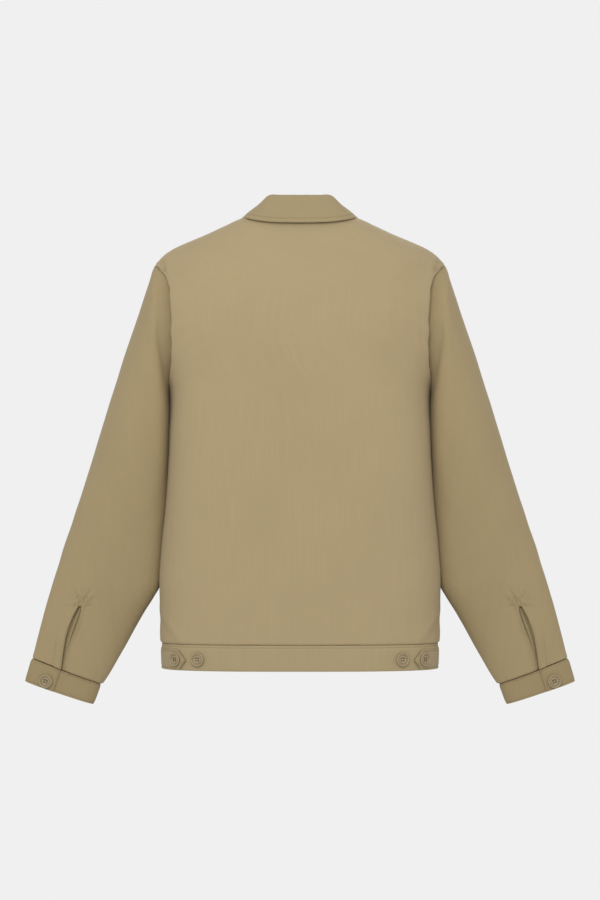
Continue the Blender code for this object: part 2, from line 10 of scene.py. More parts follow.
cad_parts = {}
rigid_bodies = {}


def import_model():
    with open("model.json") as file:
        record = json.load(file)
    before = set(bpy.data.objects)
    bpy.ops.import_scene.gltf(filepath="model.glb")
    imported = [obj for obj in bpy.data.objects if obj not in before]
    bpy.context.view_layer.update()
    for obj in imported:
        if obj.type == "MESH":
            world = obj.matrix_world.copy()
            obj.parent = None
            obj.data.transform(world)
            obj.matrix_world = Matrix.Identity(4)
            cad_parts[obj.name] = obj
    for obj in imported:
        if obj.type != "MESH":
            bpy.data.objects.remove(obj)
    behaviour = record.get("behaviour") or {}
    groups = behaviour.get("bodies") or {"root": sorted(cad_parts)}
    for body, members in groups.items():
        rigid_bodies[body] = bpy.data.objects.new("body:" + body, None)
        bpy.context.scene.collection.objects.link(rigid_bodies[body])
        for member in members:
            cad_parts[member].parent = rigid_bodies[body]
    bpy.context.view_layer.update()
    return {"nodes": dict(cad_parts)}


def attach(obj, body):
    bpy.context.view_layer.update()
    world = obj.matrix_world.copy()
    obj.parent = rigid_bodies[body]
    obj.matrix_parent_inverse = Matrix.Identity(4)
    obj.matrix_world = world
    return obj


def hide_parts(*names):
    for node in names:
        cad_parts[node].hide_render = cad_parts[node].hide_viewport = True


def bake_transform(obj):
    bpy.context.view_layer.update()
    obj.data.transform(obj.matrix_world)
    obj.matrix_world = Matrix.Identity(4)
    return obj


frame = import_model()

MM = 0.001
HEM_Z, BAND_Z = -627.0, -591.0
SHOULDER_Z, UNDERARM_Z = -66.0, -240.0
ARMHOLE_BACK, ARMHOLE_FRONT = 70.0, 66.0
NECK_SIDE_Z = 5.0
ZIP_EDGE = 7.0

# ---- the jacket's form, in mm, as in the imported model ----
HALF_WIDTH = [(-640, 192), (-591, 194), (-540, 195), (-497, 195), (-460, 192.5), (-430, 190), (-396, 187),
              (-346, 184), (-300, 183), (-240, 183), (-210, 190), (-180, 197.5), (-150, 201), (-125, 200),
              (-100, 197), (-80, 197), (-72, 200), (-66, 202.5), (-58, 196.5), (-50, 188), (-34, 159), (-17, 117),
              (0, 83),
              (5, 70), (10, 60)]
BACK_DEPTH = [(-640, 99), (-591, 101), (-500, 106), (-400, 112), (-300, 117), (-200, 119), (-150, 116),
              (-100, 107), (-66, 97), (-34, 82), (-17, 73), (0, 62), (5, 58.5), (10, 55)]
FRONT_DEPTH = [(-640, 104.2), (-80, 92), (-50, 80), (-25, 62), (-10, 46), (0, 36), (5, 31), (10, 27)]
SQUARENESS = [(-640, 3.0), (-300, 2.9), (-150, 2.8), (-66, 2.6), (10, 2.5)]
BACK_SQUARENESS = [(-640, 3.0), (-560, 3.05), (-420, 3.3), (-330, 3.6), (-260, 3.3), (-200, 2.85), (-150, 2.8),
                   (-66, 2.6), (10, 2.5)]
NECK_FRONT = [(0, -80), (0.09, -70), (0.2, -50), (0.43, -25), (0.69, -10), (1, 5)]
SLEEVE = [((203, -66), (183, -240), 66, 0), ((206, -73), (183.4, -246), 67, 0),
          ((209, -84), (183.2, -256), 69, 0), ((215, -102), (182.8, -270), 71, 0),
          ((224.5, -131), (182.6, -288), 72, -1), ((241, -179), (182.6, -312), 72, -2),
          ((264, -252), (183.2, -345), 70, -3), ((290, -336), (186.2, -392), 61, -4),
          ((312, -402), (190.6, -440), 52, -5), ((331, -458), (196.2, -504), 43, -6),
          ((343.5, -498), (206.5, -529), 38, -6), ((354, -533), (222, -556), 33, -6),
          ((361, -558), (236, -581), 30, -6), ((367, -580), (250, -606), 27, -6),
          ((371.5, -598), (264, -631), 24, -6), ((375, -614.5), (277.2, -651.5), 21, -6)]
CUFF_TOP = ((375.2, -615), (277.2, -652))
CUFF_BOTTOM = ((385, -647), (288, -680))
SLIT = [(-534, 303.5, 0.6), (-540, 305.5, 3), (-548, 308.5, 6), (-558, 312.5, 8.5), (-574, 318.5, 9),
        (-590, 324, 6.5), (-606, 328, 3.5), (-620, 331, 1.8), (-632, 333.5, 1.2)]
CREST = [(0, 54, 29.5), (24, 52.5, 30), (42.5, 44, 30), (54, 25, 21), (60, 3, 15.5), (62.5, -24, 5.5),
         (61, -50, -11), (42, -73, -35), (6, -89, -68)]
FALL_EDGE = [(0, 72, -10.5), (36, 70, -9.5), (62, 59, -6), (77, 38, -1.5), (81.5, 10, 0), (88, -22, -5),
             (93, -57, -23), (89, -89, -66), (71, -98, -122)]
# rows of the torso panels: height in the middle of the panel and at its side edge
PANEL_ROWS = [(-591, -591), (-540, -540), (-480, -480), (-410, -410), (-340, -340), (-290, -290),
              (-262, -258), (-243, -240.1), (-232, -239), (-220, -234), (-205, -223), (-188, -205),
              (-165, -175), (-142, -142), (-122, -112), (-106, -90), (-94, -77), (-84, -70), (-75, -66),
              (-63, -55), (-50, -42), (-36, -28), (-22, -14), (-9, -4), (NECK_SIDE_Z, NECK_SIDE_Z)]


def smooth(table):
    """Smooth curve through a table whose first column rises."""
    t = np.array(table, float)
    x, y = t[:, 0], t[:, 1:]
    m = np.gradient(y, x, axis=0)

    def at(q):
        q = min(max(q, x[0]), x[-1])
        i = min(max(int(np.searchsorted(x, q)) - 1, 0), len(x) - 2)
        h = x[i + 1] - x[i]
        s = (q - x[i]) / h
        v = ((2 * s**3 - 3 * s**2 + 1) * y[i] + (s**3 - 2 * s**2 + s) * h * m[i]
             + (3 * s**2 - 2 * s**3) * y[i + 1] + (s**3 - s**2) * h * m[i + 1])
        return v if len(v) > 1 else float(v[0])
    return at


half_width, back_depth, squareness = smooth(HALF_WIDTH), smooth(BACK_DEPTH), smooth(SQUARENESS)
back_squareness = smooth(BACK_SQUARENESS)
neck_front = smooth(NECK_FRONT)
ring_table = smooth([(i / 15, *o, *p, d, y) for i, (o, p, d, y) in enumerate(SLEEVE)])
crest_curve = smooth([(i / 8, *p) for i, p in enumerate(CREST)])
fall_curve = smooth([(i / 8, *p) for i, p in enumerate(FALL_EDGE)])


def step(x, a=0.0, b=1.0):
    x = np.clip((x - a) / (b - a), 0, 1)
    return x * x * (3 - 2 * x)


def front_depth(z):
    zs, ds = zip(*FRONT_DEPTH)
    return float(np.interp(z, zs, ds))


PHI = np.linspace(0, math.pi / 2, 181)
PHI = PHI * PHI * (3 - 2 * PHI / (math.pi / 2)) / (math.pi / 2)
SIN_PHI, COS_PHI = np.sin(PHI), np.abs(np.cos(PHI))
_quarters = {}


def quarter(z, front):
    """Outline of one quarter of the torso at height z, from the middle to the side, with arc lengths."""
    key = (round(z * 4), front)
    if key not in _quarters:
        z = key[0] / 4
        a, n = half_width(z), squareness(z) if front else back_squareness(z)
        b = -front_depth(z) if front else back_depth(z)
        x = a * SIN_PHI ** (2 / n)
        y = b * COS_PHI ** (2 / n)
        y[-1] = 0
        arc = np.concatenate([[0], np.cumsum(np.hypot(np.diff(x), np.diff(y)))])
        _quarters[key] = (x, y, arc)
    return _quarters[key]


def torso_at(z, front, arc_pos):
    k = math.floor(z * 4)
    f = z * 4 - k
    out = np.zeros(2)
    for kk, w in ((k, 1 - f), (k + 1, f)):
        if w > 0:
            x, y, arc = quarter(kk / 4, front)
            s = min(max(arc_pos, 0), arc[-1])
            out += w * np.array([np.interp(s, arc, x), np.interp(s, arc, y)])
    return np.array([out[0], out[1], z])


def full_arc(z, front):
    return float(quarter(z, front)[2][-1])


def arc_of_x(z, front, x_want):
    x, y, arc = quarter(z, front)
    return float(np.interp(x_want, x, arc))


def edge_arc(z, front):
    x, y, arc = quarter(z, front)
    depth = ARMHOLE_FRONT if front else ARMHOLE_BACK
    mid, half = (SHOULDER_Z + UNDERARM_Z) / 2, (SHOULDER_Z - UNDERARM_Z) / 2
    k = 1 - abs((z - mid) / half) ** 2.3
    bite = depth * k ** (1 / 2.3) if k > 0 else 0
    return float(np.interp(-bite, -np.abs(y), arc))


# ---- materials ----
def new_material(name):
    m = bpy.data.materials.new(name)
    m.use_nodes = True
    nt = m.node_tree
    return m, nt, nt.nodes["Principled BSDF"]


def node(nt, kind, **values):
    n = nt.nodes.new(kind)
    for k, v in values.items():
        if k.startswith("i_"):
            n.inputs[k[2:].replace("_", " ")].default_value = v
        else:
            setattr(n, k, v)
    return n


def twill_material(name, rgb, lines=1300.0, depth=0.16, slub=0.05, rough=0.88, angle=0.9, sheen=0.06):
    """Twill: fine diagonal ribs crossed by yarns, slow unevenness of the dye and a matte, slightly fuzzy face."""
    m, nt, b = new_material(name)
    link = nt.links.new
    uv = node(nt, "ShaderNodeUVMap", uv_map="cloth")
    turn = node(nt, "ShaderNodeMapping")
    turn.inputs["Rotation"].default_value = (0, 0, angle)
    link(uv.outputs["UV"], turn.inputs["Vector"])
    ribs = node(nt, "ShaderNodeTexWave", wave_type="BANDS", bands_direction="X", wave_profile="SIN",
                i_Scale=lines * 0.314, i_Distortion=0.6, i_Detail=1.0, i_Detail_Scale=2.0)
    link(turn.outputs["Vector"], ribs.inputs["Vector"])
    yarns = node(nt, "ShaderNodeTexWave", wave_type="BANDS", bands_direction="Y", wave_profile="SIN",
                 i_Scale=lines * 0.25, i_Distortion=1.0, i_Detail=1.0, i_Detail_Scale=3.0)
    link(uv.outputs["UV"], yarns.inputs["Vector"])
    weave = node(nt, "ShaderNodeMath", operation="MULTIPLY_ADD")
    weave.inputs[1].default_value = 0.35
    link(yarns.outputs["Fac"], weave.inputs[0])
    link(ribs.outputs["Fac"], weave.inputs[2])
    fuzz = node(nt, "ShaderNodeTexNoise", i_Scale=900.0, i_Detail=2.0, i_Roughness=0.6)
    link(uv.outputs["UV"], fuzz.inputs["Vector"])
    cloud = node(nt, "ShaderNodeTexNoise", i_Scale=9.0, i_Detail=4.0, i_Roughness=0.55)
    link(uv.outputs["UV"], cloud.inputs["Vector"])
    streak_map = node(nt, "ShaderNodeMapping")
    streak_map.inputs["Scale"].default_value = (420, 14, 1)
    link(uv.outputs["UV"], streak_map.inputs["Vector"])
    streak = node(nt, "ShaderNodeTexNoise", i_Scale=1.0, i_Detail=2.0)
    link(streak_map.outputs["Vector"], streak.inputs["Vector"])
    # colour
    base = node(nt, "ShaderNodeMix", data_type="RGBA", blend_type="MIX")
    base.inputs[6].default_value = (*[c * (1 - slub) for c in rgb], 1)
    base.inputs[7].default_value = (*[min(c * (1 + slub), 1) for c in rgb], 1)
    link(cloud.outputs["Fac"], base.inputs[0])
    fleck = node(nt, "ShaderNodeMix", data_type="RGBA", blend_type="OVERLAY")
    fleck.inputs[0].default_value = 0.06
    link(base.outputs[2], fleck.inputs[6])
    link(streak.outputs["Fac"], fleck.inputs[7])
    rib_tone = node(nt, "ShaderNodeMix", data_type="RGBA", blend_type="OVERLAY")
    rib_tone.inputs[0].default_value = 0.11
    link(fleck.outputs[2], rib_tone.inputs[6])
    link(weave.outputs[0], rib_tone.inputs[7])
    link(rib_tone.outputs[2], b.inputs["Base Color"])
    rough_map = node(nt, "ShaderNodeMapRange", i_To_Min=rough - 0.06, i_To_Max=min(rough + 0.08, 1.0))
    link(fuzz.outputs["Fac"], rough_map.inputs["Value"])
    link(rough_map.outputs["Result"], b.inputs["Roughness"])
    b.inputs["Sheen Weight"].default_value = sheen
    b.inputs["Sheen Roughness"].default_value = 0.5
    b.inputs["Specular IOR Level"].default_value = 0.25
    bump1 = node(nt, "ShaderNodeBump", i_Strength=depth, i_Distance=0.0004)
    link(weave.outputs[0], bump1.inputs["Height"])
    bump2 = node(nt, "ShaderNodeBump", i_Strength=0.12, i_Distance=0.0003)
    link(fuzz.outputs["Fac"], bump2.inputs["Height"])
    link(bump1.outputs["Normal"], bump2.inputs["Normal"])
    bump3 = node(nt, "ShaderNodeBump", i_Strength=0.10, i_Distance=0.004)
    link(cloud.outputs["Fac"], bump3.inputs["Height"])
    link(bump2.outputs["Normal"], bump3.inputs["Normal"])
    link(bump3.outputs["Normal"], b.inputs["Normal"])
    return m


def metal_material(name, rgb, rough=0.3):
    m, nt, b = new_material(name)
    link = nt.links.new
    co = node(nt, "ShaderNodeTexCoord")
    n1 = node(nt, "ShaderNodeTexNoise", i_Scale=260.0, i_Detail=4.0)
    link(co.outputs["Object"], n1.inputs["Vector"])
    n2 = node(nt, "ShaderNodeTexNoise", i_Scale=1800.0, i_Detail=2.0)
    link(co.outputs["Object"], n2.inputs["Vector"])
    mix = node(nt, "ShaderNodeMix", data_type="RGBA")
    mix.inputs[6].default_value = (*[c * 0.8 for c in rgb], 1)
    mix.inputs[7].default_value = (*[min(1, c * 1.12) for c in rgb], 1)
    link(n1.outputs["Fac"], mix.inputs[0])
    link(mix.outputs[2], b.inputs["Base Color"])
    rr = node(nt, "ShaderNodeMapRange", i_To_Min=rough - 0.08, i_To_Max=rough + 0.16)
    link(n2.outputs["Fac"], rr.inputs["Value"])
    link(rr.outputs["Result"], b.inputs["Roughness"])
    b.inputs["Metallic"].default_value = 1.0
    bump = node(nt, "ShaderNodeBump", i_Strength=0.15, i_Distance=0.0002)
    link(n2.outputs["Fac"], bump.inputs["Height"])
    link(bump.outputs["Normal"], b.inputs["Normal"])
    return m


def button_material(name, rgb):
    m, nt, b = new_material(name)
    link = nt.links.new
    co = node(nt, "ShaderNodeTexCoord")
    stretch = node(nt, "ShaderNodeMapping")
    stretch.inputs["Scale"].default_value = (120, 120, 420)
    link(co.outputs["Object"], stretch.inputs["Vector"])
    swirl = node(nt, "ShaderNodeTexNoise", i_Scale=1.0, i_Detail=3.0, i_Distortion=1.5)
    link(stretch.outputs["Vector"], swirl.inputs["Vector"])
    mix = node(nt, "ShaderNodeMix", data_type="RGBA")
    mix.inputs[6].default_value = (*[c * 0.78 for c in rgb], 1)
    mix.inputs[7].default_value = (*[min(1, c * 1.2) for c in rgb], 1)
    link(swirl.outputs["Fac"], mix.inputs[0])
    link(mix.outputs[2], b.inputs["Base Color"])
    fine = node(nt, "ShaderNodeTexNoise", i_Scale=1500.0, i_Detail=2.0)
    link(co.outputs["Object"], fine.inputs["Vector"])
    rr = node(nt, "ShaderNodeMapRange", i_To_Min=0.34, i_To_Max=0.5)
    link(fine.outputs["Fac"], rr.inputs["Value"])
    link(rr.outputs["Result"], b.inputs["Roughness"])
    bump = node(nt, "ShaderNodeBump", i_Strength=0.08, i_Distance=0.0002)
    link(fine.outputs["Fac"], bump.inputs["Height"])
    link(bump.outputs["Normal"], b.inputs["Normal"])
    return m


KHAKI = (0.336, 0.261, 0.145)
TWILL = twill_material("khaki_twill", KHAKI)
# Sleeve twill: the same khaki cloth made darker as painted shade, for the weaker light on the sleeves
TWILL_ARM_PAINTED_SHADE = twill_material("khaki_twill_arm", (0.303, 0.233, 0.123))
# Band twill (also used for tabs, welts, loop and linings): the same khaki made slightly darker as painted shade
TWILL_BAND_PAINTED_SHADE = twill_material("khaki_twill_band", (0.323, 0.255, 0.141), angle=-0.67)
# Collar twill: the same khaki cloth made darker as painted shade
TWILL_COLLAR_PAINTED_SHADE = twill_material("khaki_twill_collar", (0.299, 0.233, 0.125), angle=-0.67)
# Cuff twill: the same khaki cloth made darker as painted shade
TWILL_CUFF_PAINTED_SHADE = twill_material("khaki_twill_cuff", (0.274, 0.209, 0.108), angle=-0.67)
POCKETING = twill_material("pocketing", (0.44, 0.37, 0.245), lines=900, depth=0.1, angle=0.0)
TAPE = twill_material("zip_tape", (0.29, 0.228, 0.13), lines=1500, depth=0.3, angle=0.78, slub=0.03)
LABEL = twill_material("woven_label", (0.50, 0.44, 0.315), lines=2200, depth=0.08, angle=0.0, slub=0.02)
# Thread: the cloth's own khaki, darkened as painted shade along the stitching and at the buttons
THREAD_PAINTED_SHADE = twill_material("thread", (0.245, 0.188, 0.102), lines=5000, depth=0.4, angle=0.5, rough=0.7)
BRASS = metal_material("brushed_brass", (0.56, 0.42, 0.19))
BUTTON = button_material("button_resin", (0.285, 0.222, 0.122))


# ---- mesh helpers ----
def make(name, verts, faces, mat, uvs=None, smooth_faces=True):
    me = bpy.data.meshes.new(name)
    v = np.asarray(verts, float) * MM
    me.from_pydata(v.tolist(), [], [tuple(int(i) for i in f) for f in faces])
    if uvs is not None:
        layer = me.uv_layers.new(name="cloth")
        idx = np.zeros(len(me.loops), int)
        me.loops.foreach_get("vertex_index", idx)
        layer.data.foreach_set("uv", (np.asarray(uvs, float)[idx] * MM).ravel())
    me.polygons.foreach_set("use_smooth", [smooth_faces] * len(me.polygons))
    me.update()
    ob = bpy.data.objects.new(name, me)
    bpy.context.scene.collection.objects.link(ob)
    me.materials.append(mat)
    return ob


def grid_normals(g, wrap=False, facing=None):
    """Unit normals of a grid of points; facing is a point they face away from."""
    if wrap:
        du = np.roll(g, -1, 1) - np.roll(g, 1, 1)
    else:
        du = np.gradient(g, axis=1)
    dv = np.gradient(g, axis=0)
    n = np.cross(du, dv)
    n /= np.maximum(np.linalg.norm(n, axis=2, keepdims=True), 1e-9)
    if facing is not None and np.sum(n * (g - np.array(facing, float))) < 0:
        n = -n
    return n


def arc_grid(g, wrap=False):
    """Distance along rows and columns, in mm, used for UVs and for distances from the edges."""
    du = np.linalg.norm(np.diff(g, axis=1), axis=2)
    dv = np.linalg.norm(np.diff(g, axis=0), axis=2)
    u = np.concatenate([np.zeros((g.shape[0], 1)), np.cumsum(du, 1)], 1)
    v = np.concatenate([np.zeros((1, g.shape[1])), np.cumsum(dv, 0)], 0)
    return u, v


SURFACES = {}


def cloth(name, g, mat, thick=1.0, lift=None, wrap=False, facing=(0, 0, -320), roll=(), holes=None, puff=0.0):
    """A sewn panel from a grid of points. lift is added along the normals; roll turns the named edges under
    ("first_row", "last_row", "first_col", "last_col"), each with the depth in mm; puff rounds it between edges."""
    g = np.asarray(g, float)
    n = grid_normals(g, wrap, facing)
    u, v = arc_grid(g)
    off = np.zeros(g.shape[:2]) if lift is None else np.array(lift, float)
    far = {"first_row": v, "last_row": v[-1:] - v, "first_col": u, "last_col": u[:, -1:] - u}
    for side, depth in dict(roll).items():
        d = far[side]
        reach = 1.2 + 1.2 * depth
        off = off - depth * np.clip(1 - d / reach, 0, 1) ** 2
    if puff:
        near = np.minimum(v, v[-1:] - v)
        off = off + puff * (1 - np.exp(-near / 3.0))
    top = g + n * off[..., None]
    low = top - n * thick
    rows, cols = g.shape[:2]
    verts = np.concatenate([top.reshape(-1, 3), low.reshape(-1, 3)])
    m = rows * cols
    faces, under, edges = [], [], {}
    for r in range(rows - 1):
        for c in range(cols if wrap else cols - 1):
            if holes is not None and holes[r, c]:
                continue
            d = (c + 1) % cols
            f = (r * cols + c, r * cols + d, (r + 1) * cols + d, (r + 1) * cols + c)
            faces.append(f)
            for a, b in zip(f, f[1:] + f[:1]):
                edges[(a, b)] = 1
    # keep the outer faces turned outwards
    nn = n.reshape(-1, 3)
    flip = sum(np.dot(np.cross(verts[f[1]] - verts[f[0]], verts[f[3]] - verts[f[0]]), nn[f[0]])
               for f in faces[:: max(1, len(faces) // 50)]) < 0
    rim = [(b2, a2, a2 + m, b2 + m) for (a2, b2) in edges if (b2, a2) not in edges]
    under = [tuple(i + m for i in reversed(f)) for f in faces]
    allf = faces + under + rim
    if flip:
        allf = [tuple(reversed(f)) for f in allf]
    SURFACES[name] = (top, n, u, v)
    uv = np.stack([u, v], 2).reshape(-1, 2)
    uv = np.concatenate([uv, uv + (3.0, 1.5)])
    used = np.zeros(2 * m, bool)
    for f in allf:
        used[list(f)] = True
    if not used.all():
        number = np.cumsum(used) - 1
        verts, uv = verts[used], uv[used]
        allf = [tuple(number[i] for i in f) for f in allf]
    return make(name, verts, allf, mat, uv)


def mirror(ob, name):
    """The matching piece on the wearer's right."""
    me = ob.data.copy()
    me.name = name
    co = np.zeros(len(me.vertices) * 3)
    me.vertices.foreach_get("co", co)
    co = co.reshape(-1, 3)
    co[:, 0] *= -1
    me.vertices.foreach_set("co", co.ravel())
    me.flip_normals()
    me.update()
    new = bpy.data.objects.new(name, me)
    bpy.context.scene.collection.objects.link(new)
    return new


def wave(x, y, scale, seed=0.0):
    return noise.noise(Vector((x / scale, y / scale, seed)))


def steps_along(stops, spacing):
    """Values from the first stop to the last, each interval cut so that pieces are at most spacing long."""
    out = [stops[0]]
    for a, b in zip(stops, stops[1:]):
        k = max(1, math.ceil(abs(b - a) / spacing))
        out += [a + (b - a) * i / k for i in range(1, k + 1)]
    return out


def line_on(name, edge, dist, a=0.0, b=1.0):
    """Points and normals on a piece's outer face, dist mm from one edge, between shares a and b of its length."""
    top, n, u, v = SURFACES[name]
    if edge.endswith("col"):
        top, n, far = top.transpose(1, 0, 2), n.transpose(1, 0, 2), u.T
    else:
        far = v
    d = far if edge.startswith("first") else far[-1:] - far
    cols = range(int(a * (top.shape[1] - 1)), int(round(b * (top.shape[1] - 1))) + 1)
    path, normals = [], []
    for c in cols:
        dd = d[:, c]
        order = 1 if dd[-1] > dd[0] else -1
        path.append([np.interp(dist, dd[::order], top[::order, c, i]) for i in range(3)])
        normals.append([np.interp(dist, dd[::order], n[::order, c, i]) for i in range(3)])
    return np.array(path), np.array(normals)


def stitch(name, piece, edge, dist, a=0.0, b=1.0, **how):
    path, normals = line_on(piece, edge, dist, a, b)
    return thread_line(name, path, normals, **how)


def thread_line(name, path, normals, pitch=3.4, length=2.5, radius=0.33, mat=None, every=None):
    """Topstitching: a row of short thread humps lying along a path of points."""
    path, normals = np.asarray(path, float), np.asarray(normals, float)
    seg = np.linalg.norm(np.diff(path, axis=0), axis=1)
    s = np.concatenate([[0], np.cumsum(seg)])
    count = max(int(s[-1] / pitch), 1)
    verts, faces, uvs = [], [], []
    ring = [(math.cos(a), math.sin(a)) for a in np.arange(5) * 2 * math.pi / 5]
    for k in range(count):
        mid = (k + 0.5) * s[-1] / count
        base = len(verts)
        for j, t in enumerate(np.linspace(-1, 1, 5)):
            q = min(max(mid + t * length / 2, 0), s[-1])
            p = np.array([np.interp(q, s, path[:, i]) for i in range(3)])
            n = np.array([np.interp(q, s, normals[:, i]) for i in range(3)])
            n /= np.linalg.norm(n)
            p2 = np.array([np.interp(min(q + 0.3, s[-1]), s, path[:, i]) for i in range(3)])
            p1 = np.array([np.interp(max(q - 0.3, 0), s, path[:, i]) for i in range(3)])
            d = p2 - p1
            d /= max(np.linalg.norm(d), 1e-9)
            side = np.cross(d, n)
            high = radius * 0.55 * (1 - t * t) - radius * 0.6 * t * t
            r = radius * (0.45 + 0.55 * math.sqrt(max(0, 1 - t * t)))
            for cx, cy in ring:
                verts.append(p + side * r * cx + n * (r * cy * 0.8 + high))
                uvs.append((q + cx, k * 3 + cy))
        for j in range(4):
            for i in range(5):
                a, b = base + j * 5 + i, base + j * 5 + (i + 1) % 5
                faces.append((a, b, b + 5, a + 5))
        faces += [tuple(base + i for i in reversed(range(5))), tuple(base + 20 + i for i in range(5))]
    return make(name, verts, faces, mat or THREAD_PAINTED_SHADE, uvs)


def join(name, parts):
    """One object from several, keeping their materials."""
    bpy.ops.object.select_all(action="DESELECT")
    for p in parts:
        p.select_set(True)
    bpy.context.view_layer.objects.active = parts[0]
    bpy.ops.object.join()
    parts[0].name = parts[0].data.name = name
    return parts[0]


# ---- camera, light and floor ----
camera_data = bpy.data.cameras.new("camera")
camera_data.lens, camera_data.sensor_width = 128.6, 36.0
camera_data.clip_end = 50
camera = bpy.data.objects.new("camera", camera_data)
camera.location = (0, 4.5, -0.3234)
camera.rotation_euler = (math.pi / 2, 0, math.pi)
bpy.context.scene.collection.objects.link(camera)
bpy.context.scene.camera = camera
bpy.context.scene.view_settings.view_transform = "Standard"

world = bpy.data.worlds.new("studio")
bpy.context.scene.world = world
world.use_nodes = True
world.node_tree.nodes["Background"].inputs["Color"].default_value = (0.871, 0.871, 0.871, 1)
world.node_tree.nodes["Background"].inputs["Strength"].default_value = 1.0


def area_light(name, place, size, watts):
    data = bpy.data.lights.new(name, "AREA")
    data.shape, data.size, data.energy = "DISK", size, watts
    ob = bpy.data.objects.new(name, data)
    ob.location = place
    ob.rotation_euler = (Vector(place) - Vector((0, 0, -0.33))).to_track_quat("Z", "Y").to_euler()
    bpy.context.scene.collection.objects.link(ob)


area_light("key_behind", (0.35, 3.6, 1.3), 1.8, 62)
area_light("key_front", (-0.5, -3.6, 1.2), 1.8, 50)

floor_mat, _, floor_bsdf = new_material("floor_paper")
floor_bsdf.inputs["Base Color"].default_value = (0.60, 0.60, 0.60, 1)
floor_bsdf.inputs["Roughness"].default_value = 0.9
floor = make("floor", [(-2200, -2200, -1300), (2200, -2200, -1300), (2200, 2200, -1300), (-2200, 2200, -1300)],
             [(0, 1, 2, 3)], floor_mat, smooth_faces=False)


# ---- torso panels ----
def pair_at(k):
    i = min(int(k), len(PANEL_ROWS) - 2)
    f = k - i
    a, b = PANEL_ROWS[i], PANEL_ROWS[i + 1]
    return a[0] + (b[0] - a[0]) * f, a[1] + (b[1] - a[1]) * f


def row_positions(spacing=5.0):
    out = [0, 0.8 / 51, 1.8 / 51, 3.4 / 51, 6 / 51]
    for i, (a, b) in enumerate(zip(PANEL_ROWS, PANEL_ROWS[1:])):
        n = max(2, math.ceil(max(abs(b[0] - a[0]), abs(b[1] - a[1])) / spacing))
        for j in range(1, n + 1):
            k = i + j / n
            if k > out[-1] + 0.03:
                out.append(k)
    out[-1] = len(PANEL_ROWS) - 1
    out.insert(-1, out[-1] - 0.12)
    return out


def row_share(pair, u):
    z = pair[0] + (pair[1] - pair[0]) * u**1.5
    return (z - BAND_Z) / (NECK_SIDE_Z - BAND_Z)


def share_list(total, spacing=5.0, close=26.0, fine=1.6):
    """Shares of a panel's width, closer together near its side edge."""
    n = max(4, int((total - close) / spacing))
    a = list(np.linspace(0, 1 - close / total, n, endpoint=False))
    return a + list(np.linspace(1 - close / total, 1, int(close / fine) + 1))


ROWS = row_positions()
EDGE_Z = [pair_at(k)[1] for k in ROWS]


def half_panel(front, shares, start_x=0.0):
    g = np.zeros((len(ROWS), len(shares), 3))
    for r, k in enumerate(ROWS):
        pair = pair_at(k)
        ze = pair[1]
        share = edge_arc(ze, front) / full_arc(ze, front)
        if front:
            z0 = BAND_Z + (neck_front(0) - BAND_Z) * row_share(pair, 0)
            f0 = arc_of_x(z0, True, start_x) / full_arc(z0, True)
        for c, u in enumerate(shares):
            v = row_share(pair, u)
            if front:
                f = f0 + u * (share - f0)
                z = BAND_Z + (neck_front(min(f / share, 1)) - BAND_Z) * v
            else:
                f = u * share
                z = BAND_Z + v * (NECK_SIDE_Z - BAND_Z) - 4.5 * (1 - u * u) * v**8
            g[r, c] = torso_at(z, front, f * full_arc(z, front))
    return g


def fold_edge(g, amount, lip):
    """The armhole edge swings out over the sleeve and folds back under, deepest halfway down the armhole."""
    n = grid_normals(g, facing=(0, 0, -320))
    u, _ = arc_grid(g)
    d = u[:, -1:] - u
    a = np.array([float(step(ze, UNDERARM_Z - 2, -205) * (1 - step(ze, -104, SHOULDER_Z - 5))) for ze in EDGE_Z])
    a = a[:, None]
    w = np.clip(1 - d / 13.0, 0, 1)
    g = g.copy()
    g[..., 0] += np.interp(EDGE_Z, *zip(*lip))[:, None] * step(1 - d / 60)
    g -= n * (amount * a * w**2)[..., None]
    g[..., 0] -= 0.55 * amount * a * w**2.5
    return g


SIDE_SHARES = share_list(290)


def relax(g, times=40):
    """Evens out the rows of the shoulder area without moving the panel's edges."""
    zs = np.array([pair_at(k)[0] for k in ROWS])
    w = np.outer(step(zs, -170, -120), 1 - step(np.array(SIDE_SHARES), 0.78, 0.93))
    w[0], w[-1] = 0, 0
    for _ in range(times):
        m = g.copy()
        m[1:-1] = 0.25 * g[:-2] + 0.5 * g[1:-1] + 0.25 * g[2:]
        g = g + (m - g) * w[..., None]
    return g


BACK_LIP = [(-240, 0), (-215, 2.0), (-190, 2.4), (-150, 2.6), (-128, 5.5), (-110, 8.0), (-92, 6.0), (-80, 3.0),
            (-70, 0)]
back_half = fold_edge(relax(half_panel(False, SIDE_SHARES)), 12.0, BACK_LIP)
front_half = fold_edge(half_panel(True, SIDE_SHARES, ZIP_EDGE), 6.0, [(-240, 0), (-160, 1), (-73, 0)])
EDGE_BACK, EDGE_FRONT = back_half[:, -1].copy(), front_half[:, -1].copy()


